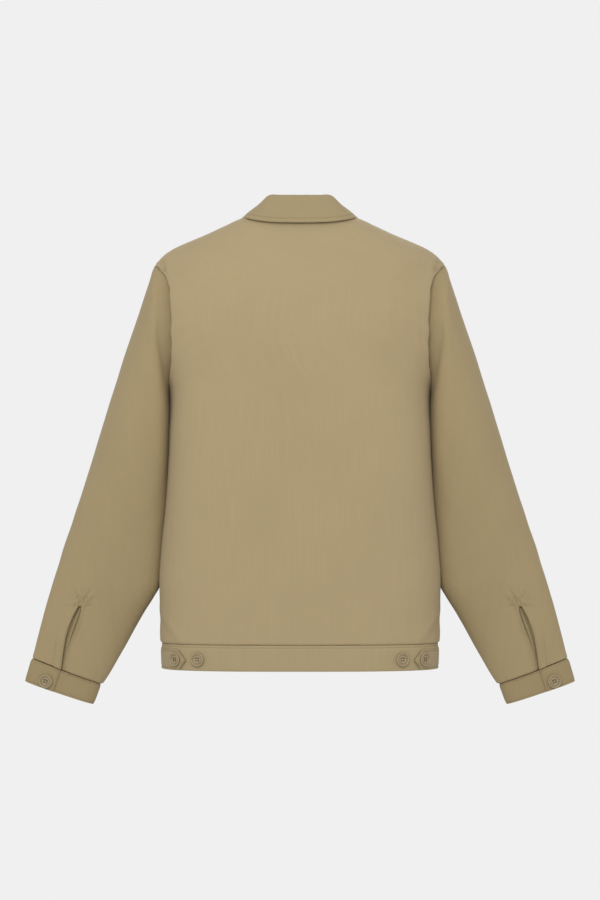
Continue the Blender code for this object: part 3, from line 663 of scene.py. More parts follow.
def drape(g, seed):
    """Soft unevenness of hanging cloth: long shallow upright folds, drag lines at the armhole, seam puckers."""
    out = np.zeros(g.shape[:2])
    for i in np.ndindex(out.shape):
        px, py, pz = (float(q) for q in g[i])
        ax = abs(px)
        across = ax + 0.55 * abs(py)
        edge = step(ax, 70, 165)
        low = step(-pz, 250, 560)
        v = 1.7 * (0.35 + 0.65 * edge) * (0.5 + 0.5 * low) * wave(across, pz * 0.16, 46, seed)
        v += 1.0 * wave(across, pz * 0.45, 90, seed + 3)
        v += 0.5 * wave(across, pz * 0.6, 24, seed + 5) * (0.4 + 0.6 * low)
        # drag lines that run from the armhole down towards the middle
        d1 = (ax - 176) * 0.5 + (pz + 150) * 0.87
        d2 = (ax - 176) * 0.87 - (pz + 150) * 0.5
        v += 1.8 * wave(d1, d2 * 0.12, 17, seed + 7) * math.exp(-(d1 / 80) ** 2 - (d2 / 60) ** 2)
        # short folds that lean in from the side seam to the waistband
        q = (ax - 178) * 0.817 - (pz + 567) * 0.576
        r = (ax - 178) * 0.576 + (pz + 567) * 0.817
        v += (1.3 * math.exp(-(q / 4) ** 2) - 0.9 * math.exp(-((q - 9) / 5) ** 2)) * math.exp(-(r / 28) ** 2)
        # the panel folds over itself beside the shoulder tip
        if py > 0 and -80 < pz < -50:
            fold = float(np.interp(pz, (-76, -69, -62, -57.5), (186.6, 187.2, 191.2, 196)))
            fade = float(step(-pz, 56, 62) * (1 - step(-pz, 72, 79)))
            v += fade * (1.2 * math.exp(-((ax - fold + 2.5) / 2.4) ** 2)
                         - 2.4 * math.exp(-((ax - fold - 1.0) / 1.5) ** 2))
        # puckers that die out above the waistband seam
        up = pz - BAND_Z
        if up < 120:
            v += 0.6 * wave(across, up * 0.25, 6.5, seed + 9) * math.exp(-up / 12)
            v += 0.7 * wave(across + 0.3 * up, up * 0.2, 16, seed + 10) * math.exp(-up / 36) * (0.35 + 0.65 * edge)
        out[i] = v
    return out


def both_halves(g):
    left = g[:, 1:][:, ::-1].copy()
    left[..., 0] *= -1
    return np.concatenate([left, g], 1)


def place(ob, body, cad, slot="twill"):
    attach(ob, body)
    if cad:
        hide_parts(cad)


back_grid = both_halves(back_half)
back = cloth("back_body", back_grid, TWILL, 1.0, drape(back_grid, 11.0),
             roll={"first_row": 1.6, "first_col": 0.4, "last_col": 0.4, "last_row": 0.6})
place(back, "torso", "back_panel")
left_front = cloth("left_front_body", front_half, TWILL, 1.0, drape(front_half, 23.0),
                   roll={"first_row": 1.6, "first_col": 0.8, "last_col": 0.4, "last_row": 0.6})
right_front = mirror(left_front, "right_front_body")
place(left_front, "torso", "left_front_panel")
place(right_front, "torso", "right_front_panel")


# ---- waistband ----
BAND_ROWS = [HEM_Z, HEM_Z + 0.5, HEM_Z + 1.4, HEM_Z + 3, HEM_Z + 6] + list(
    np.linspace(HEM_Z + 10, BAND_Z - 7, 6)) + [BAND_Z - 4.8, BAND_Z - 3.4, BAND_Z - 2.2, BAND_Z - 1.1, BAND_Z - 0.3]


def side_pull(p, amount):
    """Draws the waistband in a little at the side seams."""
    p = np.array(p, float)
    p[0] -= math.copysign(amount, p[0]) * float(step(abs(p[0]), 145, 194))
    return p


def band_half(front, start_x):
    g = []
    for z in BAND_ROWS:
        total = full_arc(z, front)
        start = arc_of_x(z, front, start_x)
        pull_in = 1.4 + 1.4 * float(step(-z, -BAND_Z, -HEM_Z))
        g.append([side_pull(torso_at(z, front, start + (total - start) * i / 90), pull_in) for i in range(91)])
    return np.array(g)


def band_lift(g, seed):
    out = np.full(g.shape[:2], 0.4)
    for i in np.ndindex(out.shape):
        x, y, z = g[i]
        across = abs(x) + 0.8 * abs(y)
        out[i] += 0.4 * wave(across, z * 0.6, 20, seed) + 0.35 * wave(across, z * 0.25, 6.5, seed + 2)
        out[i] -= 0.9 * math.exp(-((BAND_Z - z - 3.4) / 0.9) ** 2)
    return out


bh = both_halves(band_half(False, 0))
band_back = cloth("back_band", bh, TWILL_BAND_PAINTED_SHADE, 2.3, band_lift(bh, 31.0), puff=0.4,
                  roll={"first_row": 0.6, "last_row": 1.3, "first_col": 0.3, "last_col": 0.3})
fh = band_half(True, ZIP_EDGE)
band_left = cloth("left_front_band", fh, TWILL_BAND_PAINTED_SHADE, 2.3, band_lift(fh, 37.0), puff=0.4,
                  roll={"first_row": 0.6, "last_row": 1.3, "first_col": 0.8, "last_col": 0.3})
band_right = mirror(band_left, "right_front_band")
place(band_back, "torso", "back_waistband")
place(band_left, "torso", "left_front_waistband")
place(band_right, "torso", "right_front_waistband")


def on_back_band(s, z, out):
    """A point on the back waistband, s mm along it from the side seam, and the direction out of it."""
    total = full_arc(z, False)
    a, b = torso_at(z, False, total - s - 1.5), torso_at(z, False, min(total - s + 1.5, total))
    t = b - a
    n = np.array([-t[1], t[0], 0.0])
    n /= np.linalg.norm(n)
    p = torso_at(z, False, total - s)
    if n[0] * p[0] + n[1] * p[1] < 0:
        n = -n
    return side_pull(p + n * out, 3.6), n


# ---- adjuster tabs ----
TAB_LOW, TAB_HIGH, TAB_LENGTH, TAB_POINT = -626.8, -598.6, 91.5, 13.0
tab_s = [0.5, 2] + list(np.linspace(5, TAB_LENGTH - TAB_POINT, 26)) + list(
    TAB_LENGTH - TAB_POINT + np.array([1.5, 3, 4.6, 6.2, 7.8, 9.4, 10.8, 12, 12.7]))
tab_k = [-1, -0.97, -0.9, -0.82, -0.74, -0.62, -0.4, -0.15, 0.15, 0.4, 0.62, 0.74, 0.82, 0.9, 0.97, 1]
tab_grid = []
for k in tab_k:
    row = []
    for s in tab_s:
        h = (TAB_HIGH - TAB_LOW) / 2
        if s > TAB_LENGTH - TAB_POINT:
            h *= max((TAB_LENGTH - s) / TAB_POINT, 0.05)
        row.append(on_back_band(s, (TAB_LOW + TAB_HIGH) / 2 + h * k, 3.4)[0])
    tab_grid.append(row)
tab_grid = np.array(tab_grid)
lift = np.array([[1.0 + 0.3 * wave(s, k * 9, 12, 91) - 1.0 * math.exp(-(((1 - abs(k)) * 13.5 - 2.6) / 0.8) ** 2)
                  for s in tab_s] for k in tab_k])
left_tab = cloth("left_adjuster_tab", tab_grid, TWILL_BAND_PAINTED_SHADE, 1.9, lift,
                 roll={"first_row": 0.2, "last_row": 0.9, "last_col": 0.6})
right_tab = mirror(left_tab, "right_adjuster_tab")
place(left_tab, "torso", "left_waist_tab")
place(right_tab, "torso", "right_waist_tab")


# ---- sleeves ----
def ring_point(values, angle, n=2.3):
    ox, oz, ix, iz, d, y = values
    c = math.copysign(abs(math.cos(angle)) ** (2 / n), math.cos(angle))
    s = math.copysign(abs(math.sin(angle)) ** (2 / n), math.sin(angle))
    return np.array([(ox + ix) / 2 + (ox - ix) / 2 * c, y + d * s, (oz + iz) / 2 + (oz - iz) / 2 * c])


def armhole_point(angle):
    """The panel edge that the sleeve is sewn to; angle 0 is the shoulder tip and 90 degrees the back."""
    c, s = math.cos(angle), math.sin(angle)
    z = (SHOULDER_Z + UNDERARM_Z) / 2 + 87 * math.copysign(abs(c) ** (2 / 2.3), c)
    z = min(max(z, UNDERARM_Z - 0.1), SHOULDER_Z)
    edge = EDGE_BACK if s >= 0 else EDGE_FRONT
    return np.array([np.interp(z, EDGE_Z, edge[:, i]) for i in range(3)])


def crevice_dent(p):
    """The sleeve lies lower where it comes out from under the panel's fold."""
    if abs(p[1]) < 8:
        return 0.0
    near = math.exp(-((p[0] - 177) / 11) ** 2)
    deep = 17.0 if p[1] > 0 else 6.0
    return deep * near * float(step(-p[2], 84, 120) * (1 - step(-p[2], 190, 290))) * step(abs(p[1]), 12, 45)


def sleeve_point(t, angle):
    full = 0.0
    if math.cos(angle) < 0:
        # fuller where it lies against the torso, so that the valley between them is narrow
        full = 1.5 * math.sqrt(-math.cos(angle)) * float(step(t, 0.04, 0.16) * (1 - step(t, 0.6, 0.8)))
    p = ring_point(ring_table(t), angle, 2.3 + full)
    base = ring_point(ring_table(0), angle)
    w = 1 - float(step(t, 0, 0.11))
    dent = crevice_dent(p) * step(t, 0.0, 0.03)
    p = p + (armhole_point(angle) - base) * w
    c = math.cos(angle)
    if c < 0:
        p[0] -= 2.6 * c * c * step(t, 0, 0.04) * (1 - step(t, 0.62, 0.72))
    p[1] -= math.copysign(dent, p[1])
    return p


def angle_at_x(t, x):
    angles = np.linspace(math.radians(20), math.radians(150), 120)
    xs = np.array([sleeve_point(t, a)[0] for a in angles])
    return float(np.interp(x, xs[::-1], angles[::-1]))


def slit_at(z):
    rows = SLIT[::-1]
    zs = [s[0] for s in rows]
    return float(np.interp(z, zs, [s[1] for s in rows])), float(np.interp(z, zs, [s[2] for s in rows]))


SLIT_TOP_T = 0.732


def slit_angles(t):
    above = min(max((SLIT_TOP_T - t) / 0.15, 0), 1)
    t = max(t, SLIT_TOP_T)
    x, w = slit_at(float(sleeve_point(t, math.radians(80))[2]))
    a, b = angle_at_x(t, x + w / 2), angle_at_x(t, x - w / 2)
    return a + (math.radians(62) - a) * above, b + (math.radians(76) - b) * above


def sleeve_grid():
    ts = steps_along([0, 0.004, 0.01], 0.01) + steps_along([0.01, SLIT_TOP_T], 0.0085)[1:]
    ts += steps_along([SLIT_TOP_T, 0.99, 1.0], 0.0045)[1:]
    left = list(np.linspace(-150, -10, 26)) + list(np.linspace(-5, 40, 12))
    start = math.radians(40)
    g, holes = [], []
    for t in ts:
        a, b = slit_angles(t)
        row = [math.radians(k) for k in left]
        row += [start + (a - start) * k for k in (0.22, 0.4, 0.55, 0.68, 0.78, 0.86, 0.92, 0.96, 1)]
        row += [b + (math.radians(210) - b) * k for k in
                [0, 0.008, 0.018, 0.03, 0.043, 0.053, 0.062, 0.071, 0.08, 0.09, 0.105, 0.13] +
                list(np.linspace(0.165, 0.985, 26))]
        g.append([sleeve_point(t, k) for k in row])
        holes.append([SLIT_TOP_T <= t < 0.9999 and c == len(left) + 8 for c in range(len(row))])
    g = np.array(g)
    # the armhole's easing is evened out on the side that lies against the torso
    inner = np.array([[step(-math.cos(math.radians(k)), -0.1, 0.35) for k in left] + [0.0] * 9
                      + [float(step(c, 0, 22)) for c in range(38)]])
    w = np.outer(step(np.array(ts), 0.008, 0.03) * (1 - step(np.array(ts), 0.22, 0.42)), inner[0])
    for _ in range(30):
        m = g.copy()
        m[1:-1] = 0.25 * g[:-2] + 0.5 * g[1:-1] + 0.25 * g[2:]
        g = g + (m - g) * w[..., None]
    return g, np.array(holes), ts, len(left) + 8


SLEEVE_GRID, SLEEVE_HOLES, SLEEVE_TS, SLIT_COL = sleeve_grid()


def sleeve_lift(g):
    out = np.zeros(g.shape[:2])
    top_z, top_x = SLIT[0][0], SLIT[0][1]
    for i in np.ndindex(out.shape):
        x, y, z = (float(q) for q in g[i])
        along = -z * 0.954 + x * 0.298
        across = x * 0.954 + z * 0.298
        v = 1.2 * wave(across + 0.8 * y, along * 0.22, 40, 51) + 0.9 * wave(across + y, along * 0.5, 85, 53)
        v += 0.4 * wave(across + y, along * 0.5, 20, 55)
        v += 1.0 * math.exp(-((along - 520) / 60) ** 2) * wave(along, across * 0.3, 26, 57)
        # seam puckers and easing at the armhole
        t = SLEEVE_TS[i[0]]
        v += 0.6 * math.exp(-t * 25) * wave(i[1] * 2.0, 0, 3, 59) + 0.9 * math.exp(-t * 40)
        # small gathers into the cuff
        near = max(0.0, 1 - (1 - t) * 600 / 34)
        v += 1.5 * near**1.5 * wave(across + y * 0.7, along * 0.2, 9, 61) - 1.2 * float(step(t, 0.994, 1.0))
        if y > -10:
            # creases spreading from the top of the slit, and its raised lips
            dx, dz = x - top_x, z - top_z
            r = math.hypot(dx, dz)
            if r < 60:
                ang = math.atan2(dz, dx)
                v += 2.6 * (2 * abs(math.cos(4.5 * ang + 0.9)) ** 0.7 - 1.3) * math.exp(-((r - 10) / 9) ** 2) * (
                    1 if dz > -6 else 0.2)
                v -= 2.2 * math.exp(-(r / 4.5) ** 2)
            if t > SLIT_TOP_T - 0.03:
                away = abs(i[1] - SLIT_COL - 0.5)
                g0 = g[i[0], SLIT_COL if i[1] <= SLIT_COL else SLIT_COL + 1]
                d = float(np.linalg.norm(g[i] - g0))
                outer = i[1] <= SLIT_COL
                lap = float(step(t, 0.80, 0.93))
                if outer:
                    v += (2.2 + 1.2 * lap) * math.exp(-(d / 8) ** 2) - 1.4 * math.exp(-(d / 1.0) ** 2)
                    v -= 0.9 * lap * math.exp(-((d - 13.5) / 1.0) ** 2)
                else:
                    v += ((1.9 * math.exp(-((d - 2) / 1.5) ** 2) - 1.0 * math.exp(-(d / 0.7) ** 2)) * (1 - lap)
                          - 1.8 * lap * math.exp(-(d / 5) ** 2))
                    v -= 1.5 * math.exp(-((d - 4.3) / 0.8) ** 2) * (1 - 0.6 * lap)
        out[i] = v
    return out


left_sleeve = cloth("left_arm_cloth", SLEEVE_GRID, TWILL_ARM_PAINTED_SHADE, 1.0, sleeve_lift(SLEEVE_GRID), wrap=True,
                    facing=(262, 0, -360), holes=SLEEVE_HOLES, roll={"first_row": 0.9, "last_row": 0.8})
right_sleeve = mirror(left_sleeve, "right_arm_cloth")


def place_on_arm(ob, side, cad, bends=False):
    if cad:
        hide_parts(cad)
    if bends:
        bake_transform(ob)
    else:
        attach(ob, side + "_arm")


place_on_arm(left_sleeve, "left", "left_sleeve", bends=True)
place_on_arm(right_sleeve, "right", "right_sleeve", bends=True)

# the strip sewn under the slit, seen through it
strip = []
for t in [0.70, 0.715, 0.73, 0.745, 0.76] + list(np.linspace(0.78, 0.996, 26)):
    a, b = slit_angles(max(t, SLIT_TOP_T))
    x_mid = (sleeve_point(t, a)[0] + sleeve_point(t, b)[0]) / 2
    strip.append([sleeve_point(t, angle_at_x(t, x_mid + k)) for k in
                  (14, 11, 8, 5.5, 3.5, 1.8, 0, -1.8, -3.5, -5.2, -6.6, -8, -10)])
strip = np.array(strip)
lift = np.array([[-5.6 + 3.6 * math.exp(-((c - 6.5) / 1.15) ** 2) + 0.4 * wave(r * 1.4, c * 2, 9, 63)
                  for c in range(13)] for r in range(len(strip))])
left_strip = cloth("left_slit_strip", strip, TWILL_ARM_PAINTED_SHADE, 0.9, lift, facing=(320, -40, -590))
right_strip = mirror(left_strip, "right_slit_strip")
place_on_arm(left_strip, "left", "left_placket")
place_on_arm(right_strip, "right", "right_placket")


# ---- cuffs ----
def cuff_point(s, v, extra=0.0):
    """s goes from the buttoned end round to the lapped end, v from the lower edge to the upper one."""
    o = np.array(CUFF_BOTTOM[0]) + v * (np.array(CUFF_TOP[0]) - np.array(CUFF_BOTTOM[0]))
    i = np.array(CUFF_BOTTOM[1]) + v * (np.array(CUFF_TOP[1]) - np.array(CUFF_BOTTOM[1]))
    angle = math.radians(83 - 399 * s)
    tuck = -2.9 * min(max((s - 0.55) / 0.15, 0), 1) + extra
    grow = 1 + tuck / 48
    mid = (o + i) / 2
    oo, ii = mid + (o - mid) * grow, mid + (i - mid) * grow
    return ring_point((oo[0], oo[1], ii[0], ii[1], 20.5 + tuck, -6.0), angle)


cuff_v = [0, 0.015, 0.04, 0.075, 0.11, 0.16, 0.25, 0.4, 0.55, 0.7, 0.8, 0.86, 0.9, 0.93, 0.965, 0.985, 1]
cuff_s = list(np.concatenate([[0, 0.002, 0.005, 0.009, 0.013], np.linspace(0.018, 1, 120)]))
cuff_g = np.array([[cuff_point(s, v) for s in cuff_s] for v in cuff_v])
lift = np.zeros(cuff_g.shape[:2])
for i in np.ndindex(lift.shape):
    x, y, z = (float(q) for q in cuff_g[i])
    v = cuff_v[i[0]]
    lift[i] = 0.5 * wave(x * 0.95 + y, z * 0.5, 18, 71) + 0.35 * wave(x * 0.95 + y, z * 0.4, 7, 73) * v
    lift[i] -= 0.6 * math.exp(-(((1 - v) * 34 - 2.6) / 0.9) ** 2) + 0.5 * math.exp(-((v * 34 - 2.6) / 0.9) ** 2)
    lift[i] += 0.3
left_cuff = cloth("left_cuff_cloth", cuff_g, TWILL_CUFF_PAINTED_SHADE, 1.9, lift, facing=(330, -6, -648), puff=0.4,
                  roll={"first_row": 0.3, "last_row": 1.3, "first_col": 1.1, "last_col": 0.4})
right_cuff = mirror(left_cuff, "right_cuff_cloth")
place_on_arm(left_cuff, "left", "left_cuff")
place_on_arm(right_cuff, "right", "right_cuff")


# ---- collar ----
def neck_seam(w):
    if w < 0.5:
        u = w / 0.5
        z = NECK_SIDE_Z - 4.5 * (1 - u * u)
        return torso_at(z, False, u * full_arc(z, False))
    u = (1 - w) / 0.5
    z = neck_front(u)
    return torso_at(z, True, u * full_arc(z, True))


W0 = ZIP_EDGE / full_arc(neck_front(0), True)
COLLAR_W = list(np.linspace(0, 1 - W0 / 2, 110)) + [1 - W0 / 2 + W0 / 2 * k for k in (0.3, 0.6, 1.0)]


def fall_path(w):
    """Section of the folded collar at w: inner lip, crest, then down the outside to its edge."""
    c, e = crest_curve(w), fall_curve(w)
    h = np.array([c[0], c[1] + 10, 0.0])
    h /= np.linalg.norm(h)
    bulge = h * 2.0 + np.array([0, 0, 1.6])
    pts = [c - h * 3.2 + (0, 0, -4.2), c - h * 2.7 + (0, 0, -1.8), c - h * 1.6 + (0, 0, -0.4), c - h * 0.2,
           c + h * 1.0 + (0, 0, -0.5)]
    start = pts[-1]
    run = np.linalg.norm(e - start)
    ts = list(np.linspace(0.05, 0.8, 12)) + [1 - k / run for k in (8.8, 7.6, 7.0, 6.5, 6.0, 5.4, 4.2, 2.6, 1.4, 0.6, 0)]
    for t in sorted(t for t in ts if t > 0):
        pts.append(start + (e - start) * t + bulge * (4 * t * (1 - t)) * 0.6)
    return pts


fall = np.transpose(np.array([fall_path(w) for w in COLLAR_W]), (1, 0, 2))
lift = np.zeros(fall.shape[:2])
u_arc, v_arc = arc_grid(fall)
to_end, to_edge = u_arc[:, -1:] - u_arc, v_arc[-1:] - v_arc
for i in np.ndindex(lift.shape):
    x, y, z = (float(q) for q in fall[i])
    lift[i] = 0.6 * wave(x + y, z, 30, 81) + 0.3 * wave(x + y, z, 9, 83)
    lift[i] -= 0.7 * math.exp(-((min(to_edge[i], to_end[i]) - 6.5) / 1.0) ** 2)
    lift[i] += 2.2 * math.exp(-(to_edge[i] / 9) ** 2) * step(-COLLAR_W[i[1]], -0.42, -0.3)
full_fall = both_halves(fall)
collar = cloth("collar_fold", full_fall, TWILL_COLLAR_PAINTED_SHADE, 2.0,
               np.concatenate([lift[:, 1:][:, ::-1], lift], 1), facing=(0, -10, -60),
               roll={"last_row": 0.9, "first_col": 0.8, "last_col": 0.8})
place(collar, "torso", "collar_fall")


def stand_path(w):
    low, c = neck_seam(min(w, 1 - W0 / 2)), crest_curve(w)
    r = np.array([c[0], c[1] + 10, 0.0])
    r /= np.linalg.norm(r)
    top = c - r * 2.6 + (0, 0, -4.0)
    low = low + (top - low) / np.linalg.norm(top - low) * 0.3
    ts = [0, 0.03, 0.07, 0.14] + list(np.linspace(0.22, 1, 8))
    return [low + (top - low) * t + r * 0.8 * math.sin(math.pi * t) for t in ts]


stand_half = np.transpose(np.array([stand_path(w) for w in COLLAR_W[:-3]]), (1, 0, 2))
stand = cloth("collar_band", both_halves(stand_half), TWILL_COLLAR_PAINTED_SHADE, 1.8, facing=(0, -10, -40),
              roll={"first_row": 0.6, "first_col": 0.6, "last_col": 0.6})
place(stand, "torso", "collar_stand")


# ---- buttons ----
def button_mesh():
    """Four-hole button, 19 mm across: rounded rim, groove and dished middle; its back is flat."""
    profile = [(0, 0.0), (6.2, 0.0), (8.0, 0.45), (9.2, 1.1), (9.5, 1.9), (9.25, 2.6), (8.5, 3.05), (7.7, 3.0),
               (7.1, 2.4), (6.75, 1.5), (6.4, 1.05), (5.9, 1.5), (5.2, 2.3), (4.4, 2.25), (3.7, 1.6), (3.0, 1.25),
               (0, 1.2)]
    k = 48
    verts, faces = [(0, 0, profile[0][1])], []
    for r, z in profile[1:-1]:
        verts += [(r * math.cos(2 * math.pi * i / k), r * math.sin(2 * math.pi * i / k), z) for i in range(k)]
    verts.append((0, 0, profile[-1][1]))
    for i in range(k):
        j = (i + 1) % k
        faces.append((0, 1 + j, 1 + i))
        for ring in range(len(profile) - 3):
            a, b = 1 + ring * k, 1 + (ring + 1) * k
            faces.append((a + i, a + j, b + j, b + i))
        last = 1 + (len(profile) - 3) * k
        faces.append((last + i, last + j, len(verts) - 1))
    disc = make("button_master", verts, faces, BUTTON, [(v[0], v[1]) for v in verts])
    for n, (sx, sy) in enumerate(((1, 1), (1, -1), (-1, 1), (-1, -1))):
        bpy.ops.mesh.primitive_cylinder_add(vertices=16, radius=0.00098, depth=0.01,
                                            location=(sx * 0.00165, sy * 0.00165, 0.0015))
        cut = bpy.context.object
        mod = disc.modifiers.new("hole", "BOOLEAN")
        mod.object, mod.operation, mod.solver = cut, "DIFFERENCE", "EXACT"
        bpy.context.view_layer.objects.active = disc
        bpy.ops.object.modifier_apply(modifier=mod.name)
        bpy.data.objects.remove(cut)
    return disc


def thread_bar(p0, p1, radius=0.33, rise=0.5):
    """A short arched stitch between two points of a button's face."""
    p0, p1 = np.array(p0, float), np.array(p1, float)
    d = (p1 - p0) / np.linalg.norm(p1 - p0)
    side = np.cross(d, (0, 0, 1))
    verts, faces = [], []
    for j, t in enumerate(np.linspace(0, 1, 7)):
        c = p0 + (p1 - p0) * t + np.array([0, 0, rise * (1 - (2 * t - 1) ** 4) - (1.2 if t in (0, 1) else 0)])
        for a in np.arange(6) * math.pi / 3:
            verts.append(c + side * radius * math.cos(a) + np.array([0, 0, radius * math.sin(a)]))
    for j in range(6):
        for i in range(6):
            a, b = j * 6 + i, j * 6 + (i + 1) % 6
            faces.append((a, b, b + 6, a + 6))
    faces += [tuple(reversed(range(6))), tuple(range(36, 42))]
    return make("bar", verts, faces, THREAD_PAINTED_SHADE, [(v[0] * 3, v[1] * 3) for v in verts])


MASTER = button_mesh()


CUFF_BUTTON_RING = [0.32 * a + 0.68 * b
                    for a, b in zip((*CUFF_TOP[0], *CUFF_TOP[1]), (*CUFF_BOTTOM[0], *CUFF_BOTTOM[1]))]


def put_button(name, centre, normal, across, body, cad, sewn=True, hole=None):
    """centre is on the cloth under the button, across the direction of its buttonhole."""
    parts = []
    z = Vector(normal).normalized()
    x = (Vector(across) - z * Vector(across).dot(z)).normalized()
    y = z.cross(x)
    turn = Matrix((x, y, z)).transposed().to_4x4()
    turn.translation = Vector(centre) * MM + z * 0.0009
    ob = MASTER.copy()
    ob.data = MASTER.data.copy()
    bpy.context.scene.collection.objects.link(ob)
    parts.append(ob)
    h = 1.65
    bars = [((-h, -h, 1.7), (-h, h, 1.7)), ((h, -h, 1.7), (h, h, 1.7))] if sewn else []
    bars += [((-h, -h, 1.3), (-h, -h + 0.3, 1.3))] if not sewn else []
    parts += [thread_bar(*b) for b in bars]
    shank = []
    for i in range(8):
        a = i * math.pi / 4
        shank += [(1.9 * math.cos(a), 1.9 * math.sin(a), -1.2), (1.9 * math.cos(a), 1.9 * math.sin(a), 0.3)]
    parts.append(make("shank", shank, [(2 * i, (2 * i + 2) % 16, (2 * i + 3) % 16, 2 * i + 1) for i in range(8)]
                      + [tuple(range(14, -1, -2)), tuple(range(1, 16, 2))], THREAD_PAINTED_SHADE, [(v[0], v[2]) for v in shank]))
    for p in parts:
        p.data.transform(turn)
        p.data.update()
    whole = join(name, parts)
    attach(whole, body)
    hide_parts(cad)
    bpy.context.view_layer.update()


mid_z = (TAB_LOW + TAB_HIGH) / 2 + 0.6
for s, side in ((1, "left"), (-1, "right")):
    flip = np.array([s, 1, 1])
    p, n = on_back_band(74.0, mid_z, 4.3)
    put_button(side + "_tab_disc", p * flip, n * flip, (1, 0, 0), "torso", side + "_tab_button")
    p, n = on_back_band(110.0, mid_z + 1, 1.5)
    put_button(side + "_spare_disc", p * flip, n * flip, (1, 0.15, 0), "torso", side + "_spare_button", sewn=False)
    c = math.radians(67)
    p = ring_point(CUFF_BUTTON_RING
                   + [20.5, -6.0], c)
    q = ring_point(CUFF_BUTTON_RING
                   + [20.5, -6.0], c + 0.05)
    n = np.cross(q - p, (0.298, 0, -0.954))
    n *= math.copysign(1, n[1]) / np.linalg.norm(n)
    put_button(side + "_cuff_disc", (p + n * 1.0) * flip, n * flip, (0.95, 0, 0.3 * s), side + "_arm",
               side + "_cuff_button")
bpy.data.objects.remove(MASTER)


# ---- linings, pockets, label and loop ----
def from_node(node_name, name, mat, cuts, slot, grow=0.0, rough=0.5, scale=12.0, flat=None, held="laid", rests=(),
              ruled=True):
    """A finer copy of a plain piece of the model, with UVs, softened corners and slight unevenness."""
    src = frame["nodes"][node_name]
    bpy.context.view_layer.update()
    me = src.data.copy()
    me.transform(src.matrix_world)
    me.materials.clear()
    bm = bmesh.new()
    bm.from_mesh(me)
    bmesh.ops.remove_doubles(bm, verts=bm.verts, dist=1e-6)
    bmesh.ops.subdivide_edges(bm, edges=[e for e in bm.edges if e.calc_length() > 0.003], cuts=cuts,
                              use_grid_fill=True)
    bmesh.ops.triangulate(bm, faces=[f for f in bm.faces if len(f.verts) > 4])
    bmesh.ops.recalc_face_normals(bm, faces=bm.faces)
    bm.normal_update()
    seed = len(name) * 3.7
    moves = []
    for v in bm.verts:
        x, y, z = v.co / MM
        s = rough * wave(abs(x) + abs(y) * 0.7, z, scale, seed) * MM
        moves.append((v, Vector((v.co.x * 0, (1 if y > 0 else -1) * s, 0)) + v.normal * grow * MM))
    for v, m in moves:
        v.co += m
    layer = bm.loops.layers.uv.new("cloth")
    for f in bm.faces:
        for loop in f.loops:
            x, y, z = loop.vert.co
            loop[layer].uv = (x + abs(y) * 0.7, z)
        f.smooth = True
    bm.to_mesh(me)
    bm.free()
    me.set_sharp_from_angle(angle=math.radians(50))
    ob = bpy.data.objects.new(name, me)
    bpy.context.scene.collection.objects.link(ob)
    me.materials.append(mat)
    place(ob, "torso", node_name, slot)
    return ob


from_node("hanger_loop", "hang_loop", TWILL_BAND_PAINTED_SHADE, 2, "twill", rough=0.2)
from_node("back_neck_facing", "neck_lining", TWILL_BAND_PAINTED_SHADE, 2, "twill")
tag = from_node("neck_label", "blank_tag", LABEL, 3, "label_tape", rough=0.3)
for s in ("left", "right"):
    from_node(s + "_front_facing", s + "_lining_strip", TWILL_BAND_PAINTED_SHADE, 2, "twill")
for s in ("left", "right"):
    from_node(s + "_pocket_bag", s + "_pocket_sack", POCKETING, 3, "pocketing")


def front_patch(p0, p1, width, along, across, out):
    a, b = np.array(p0, float), np.array(p1, float)
    d = (b - a) / np.linalg.norm(b - a)
    side = np.array([-d[1], d[0]])
    g = []
    for t in along:
        row = []
        for s in across:
            x, z = a + (b - a) * t + side * width * s
            row.append(torso_at(z, True, arc_of_x(z, True, x)))
        g.append(row)
    g = np.array(g)
    return g + grid_normals(g, facing=(0, 0, -320)) * out


WELT_T = [0, 0.006, 0.015, 0.03] + list(np.linspace(0.05, 0.95, 30)) + [0.97, 0.985, 0.994, 1]
WELT_S = [-0.5, -0.48, -0.43, -0.36, -0.28, -0.15, 0, 0.15, 0.28, 0.36, 0.43, 0.48, 0.5]
welt_g = front_patch((84, -405), (116, -550), 21, WELT_T, WELT_S, 2.2)
lift = np.array([[0.35 * wave(t * 149, s * 20, 9, 87) - 0.4 * math.exp(-(((0.5 - abs(s)) * 21 - 2.4) / 0.8) ** 2)
                  for s in WELT_S] for t in WELT_T])
left_welt = cloth("left_welt", welt_g, TWILL_BAND_PAINTED_SHADE, 1.6, lift, puff=0.4,
                  roll={"first_row": 0.9, "last_row": 0.9, "first_col": 0.7, "last_col": 0.7})
right_welt = mirror(left_welt, "right_welt")
place(left_welt, "torso", "left_pocket_welt")
place(right_welt, "torso", "right_pocket_welt")


# ---- zip ----
ZIP_A = np.array([0, -front_depth(-80), -80.0])
ZIP_B = np.array([0, -front_depth(-630), -630.0])
ZIP_DIR = (ZIP_A - ZIP_B) / np.linalg.norm(ZIP_A - ZIP_B)
ZIP_OUT = np.array([0, -ZIP_DIR[2], ZIP_DIR[1]])
ZIP_TOP_Z, ZIP_BOTTOM_Z = -98.0, -612.0


def zip_point(x, out, z):
    return ZIP_B + ZIP_DIR * (z - ZIP_B[2]) / ZIP_DIR[2] + ZIP_OUT * out + np.array([x, 0, 0])


def closed_mesh(name, verts, faces, mat):
    return make(name, verts, faces, mat, [(v[0] + v[1], v[2]) for v in verts], smooth_faces=False)


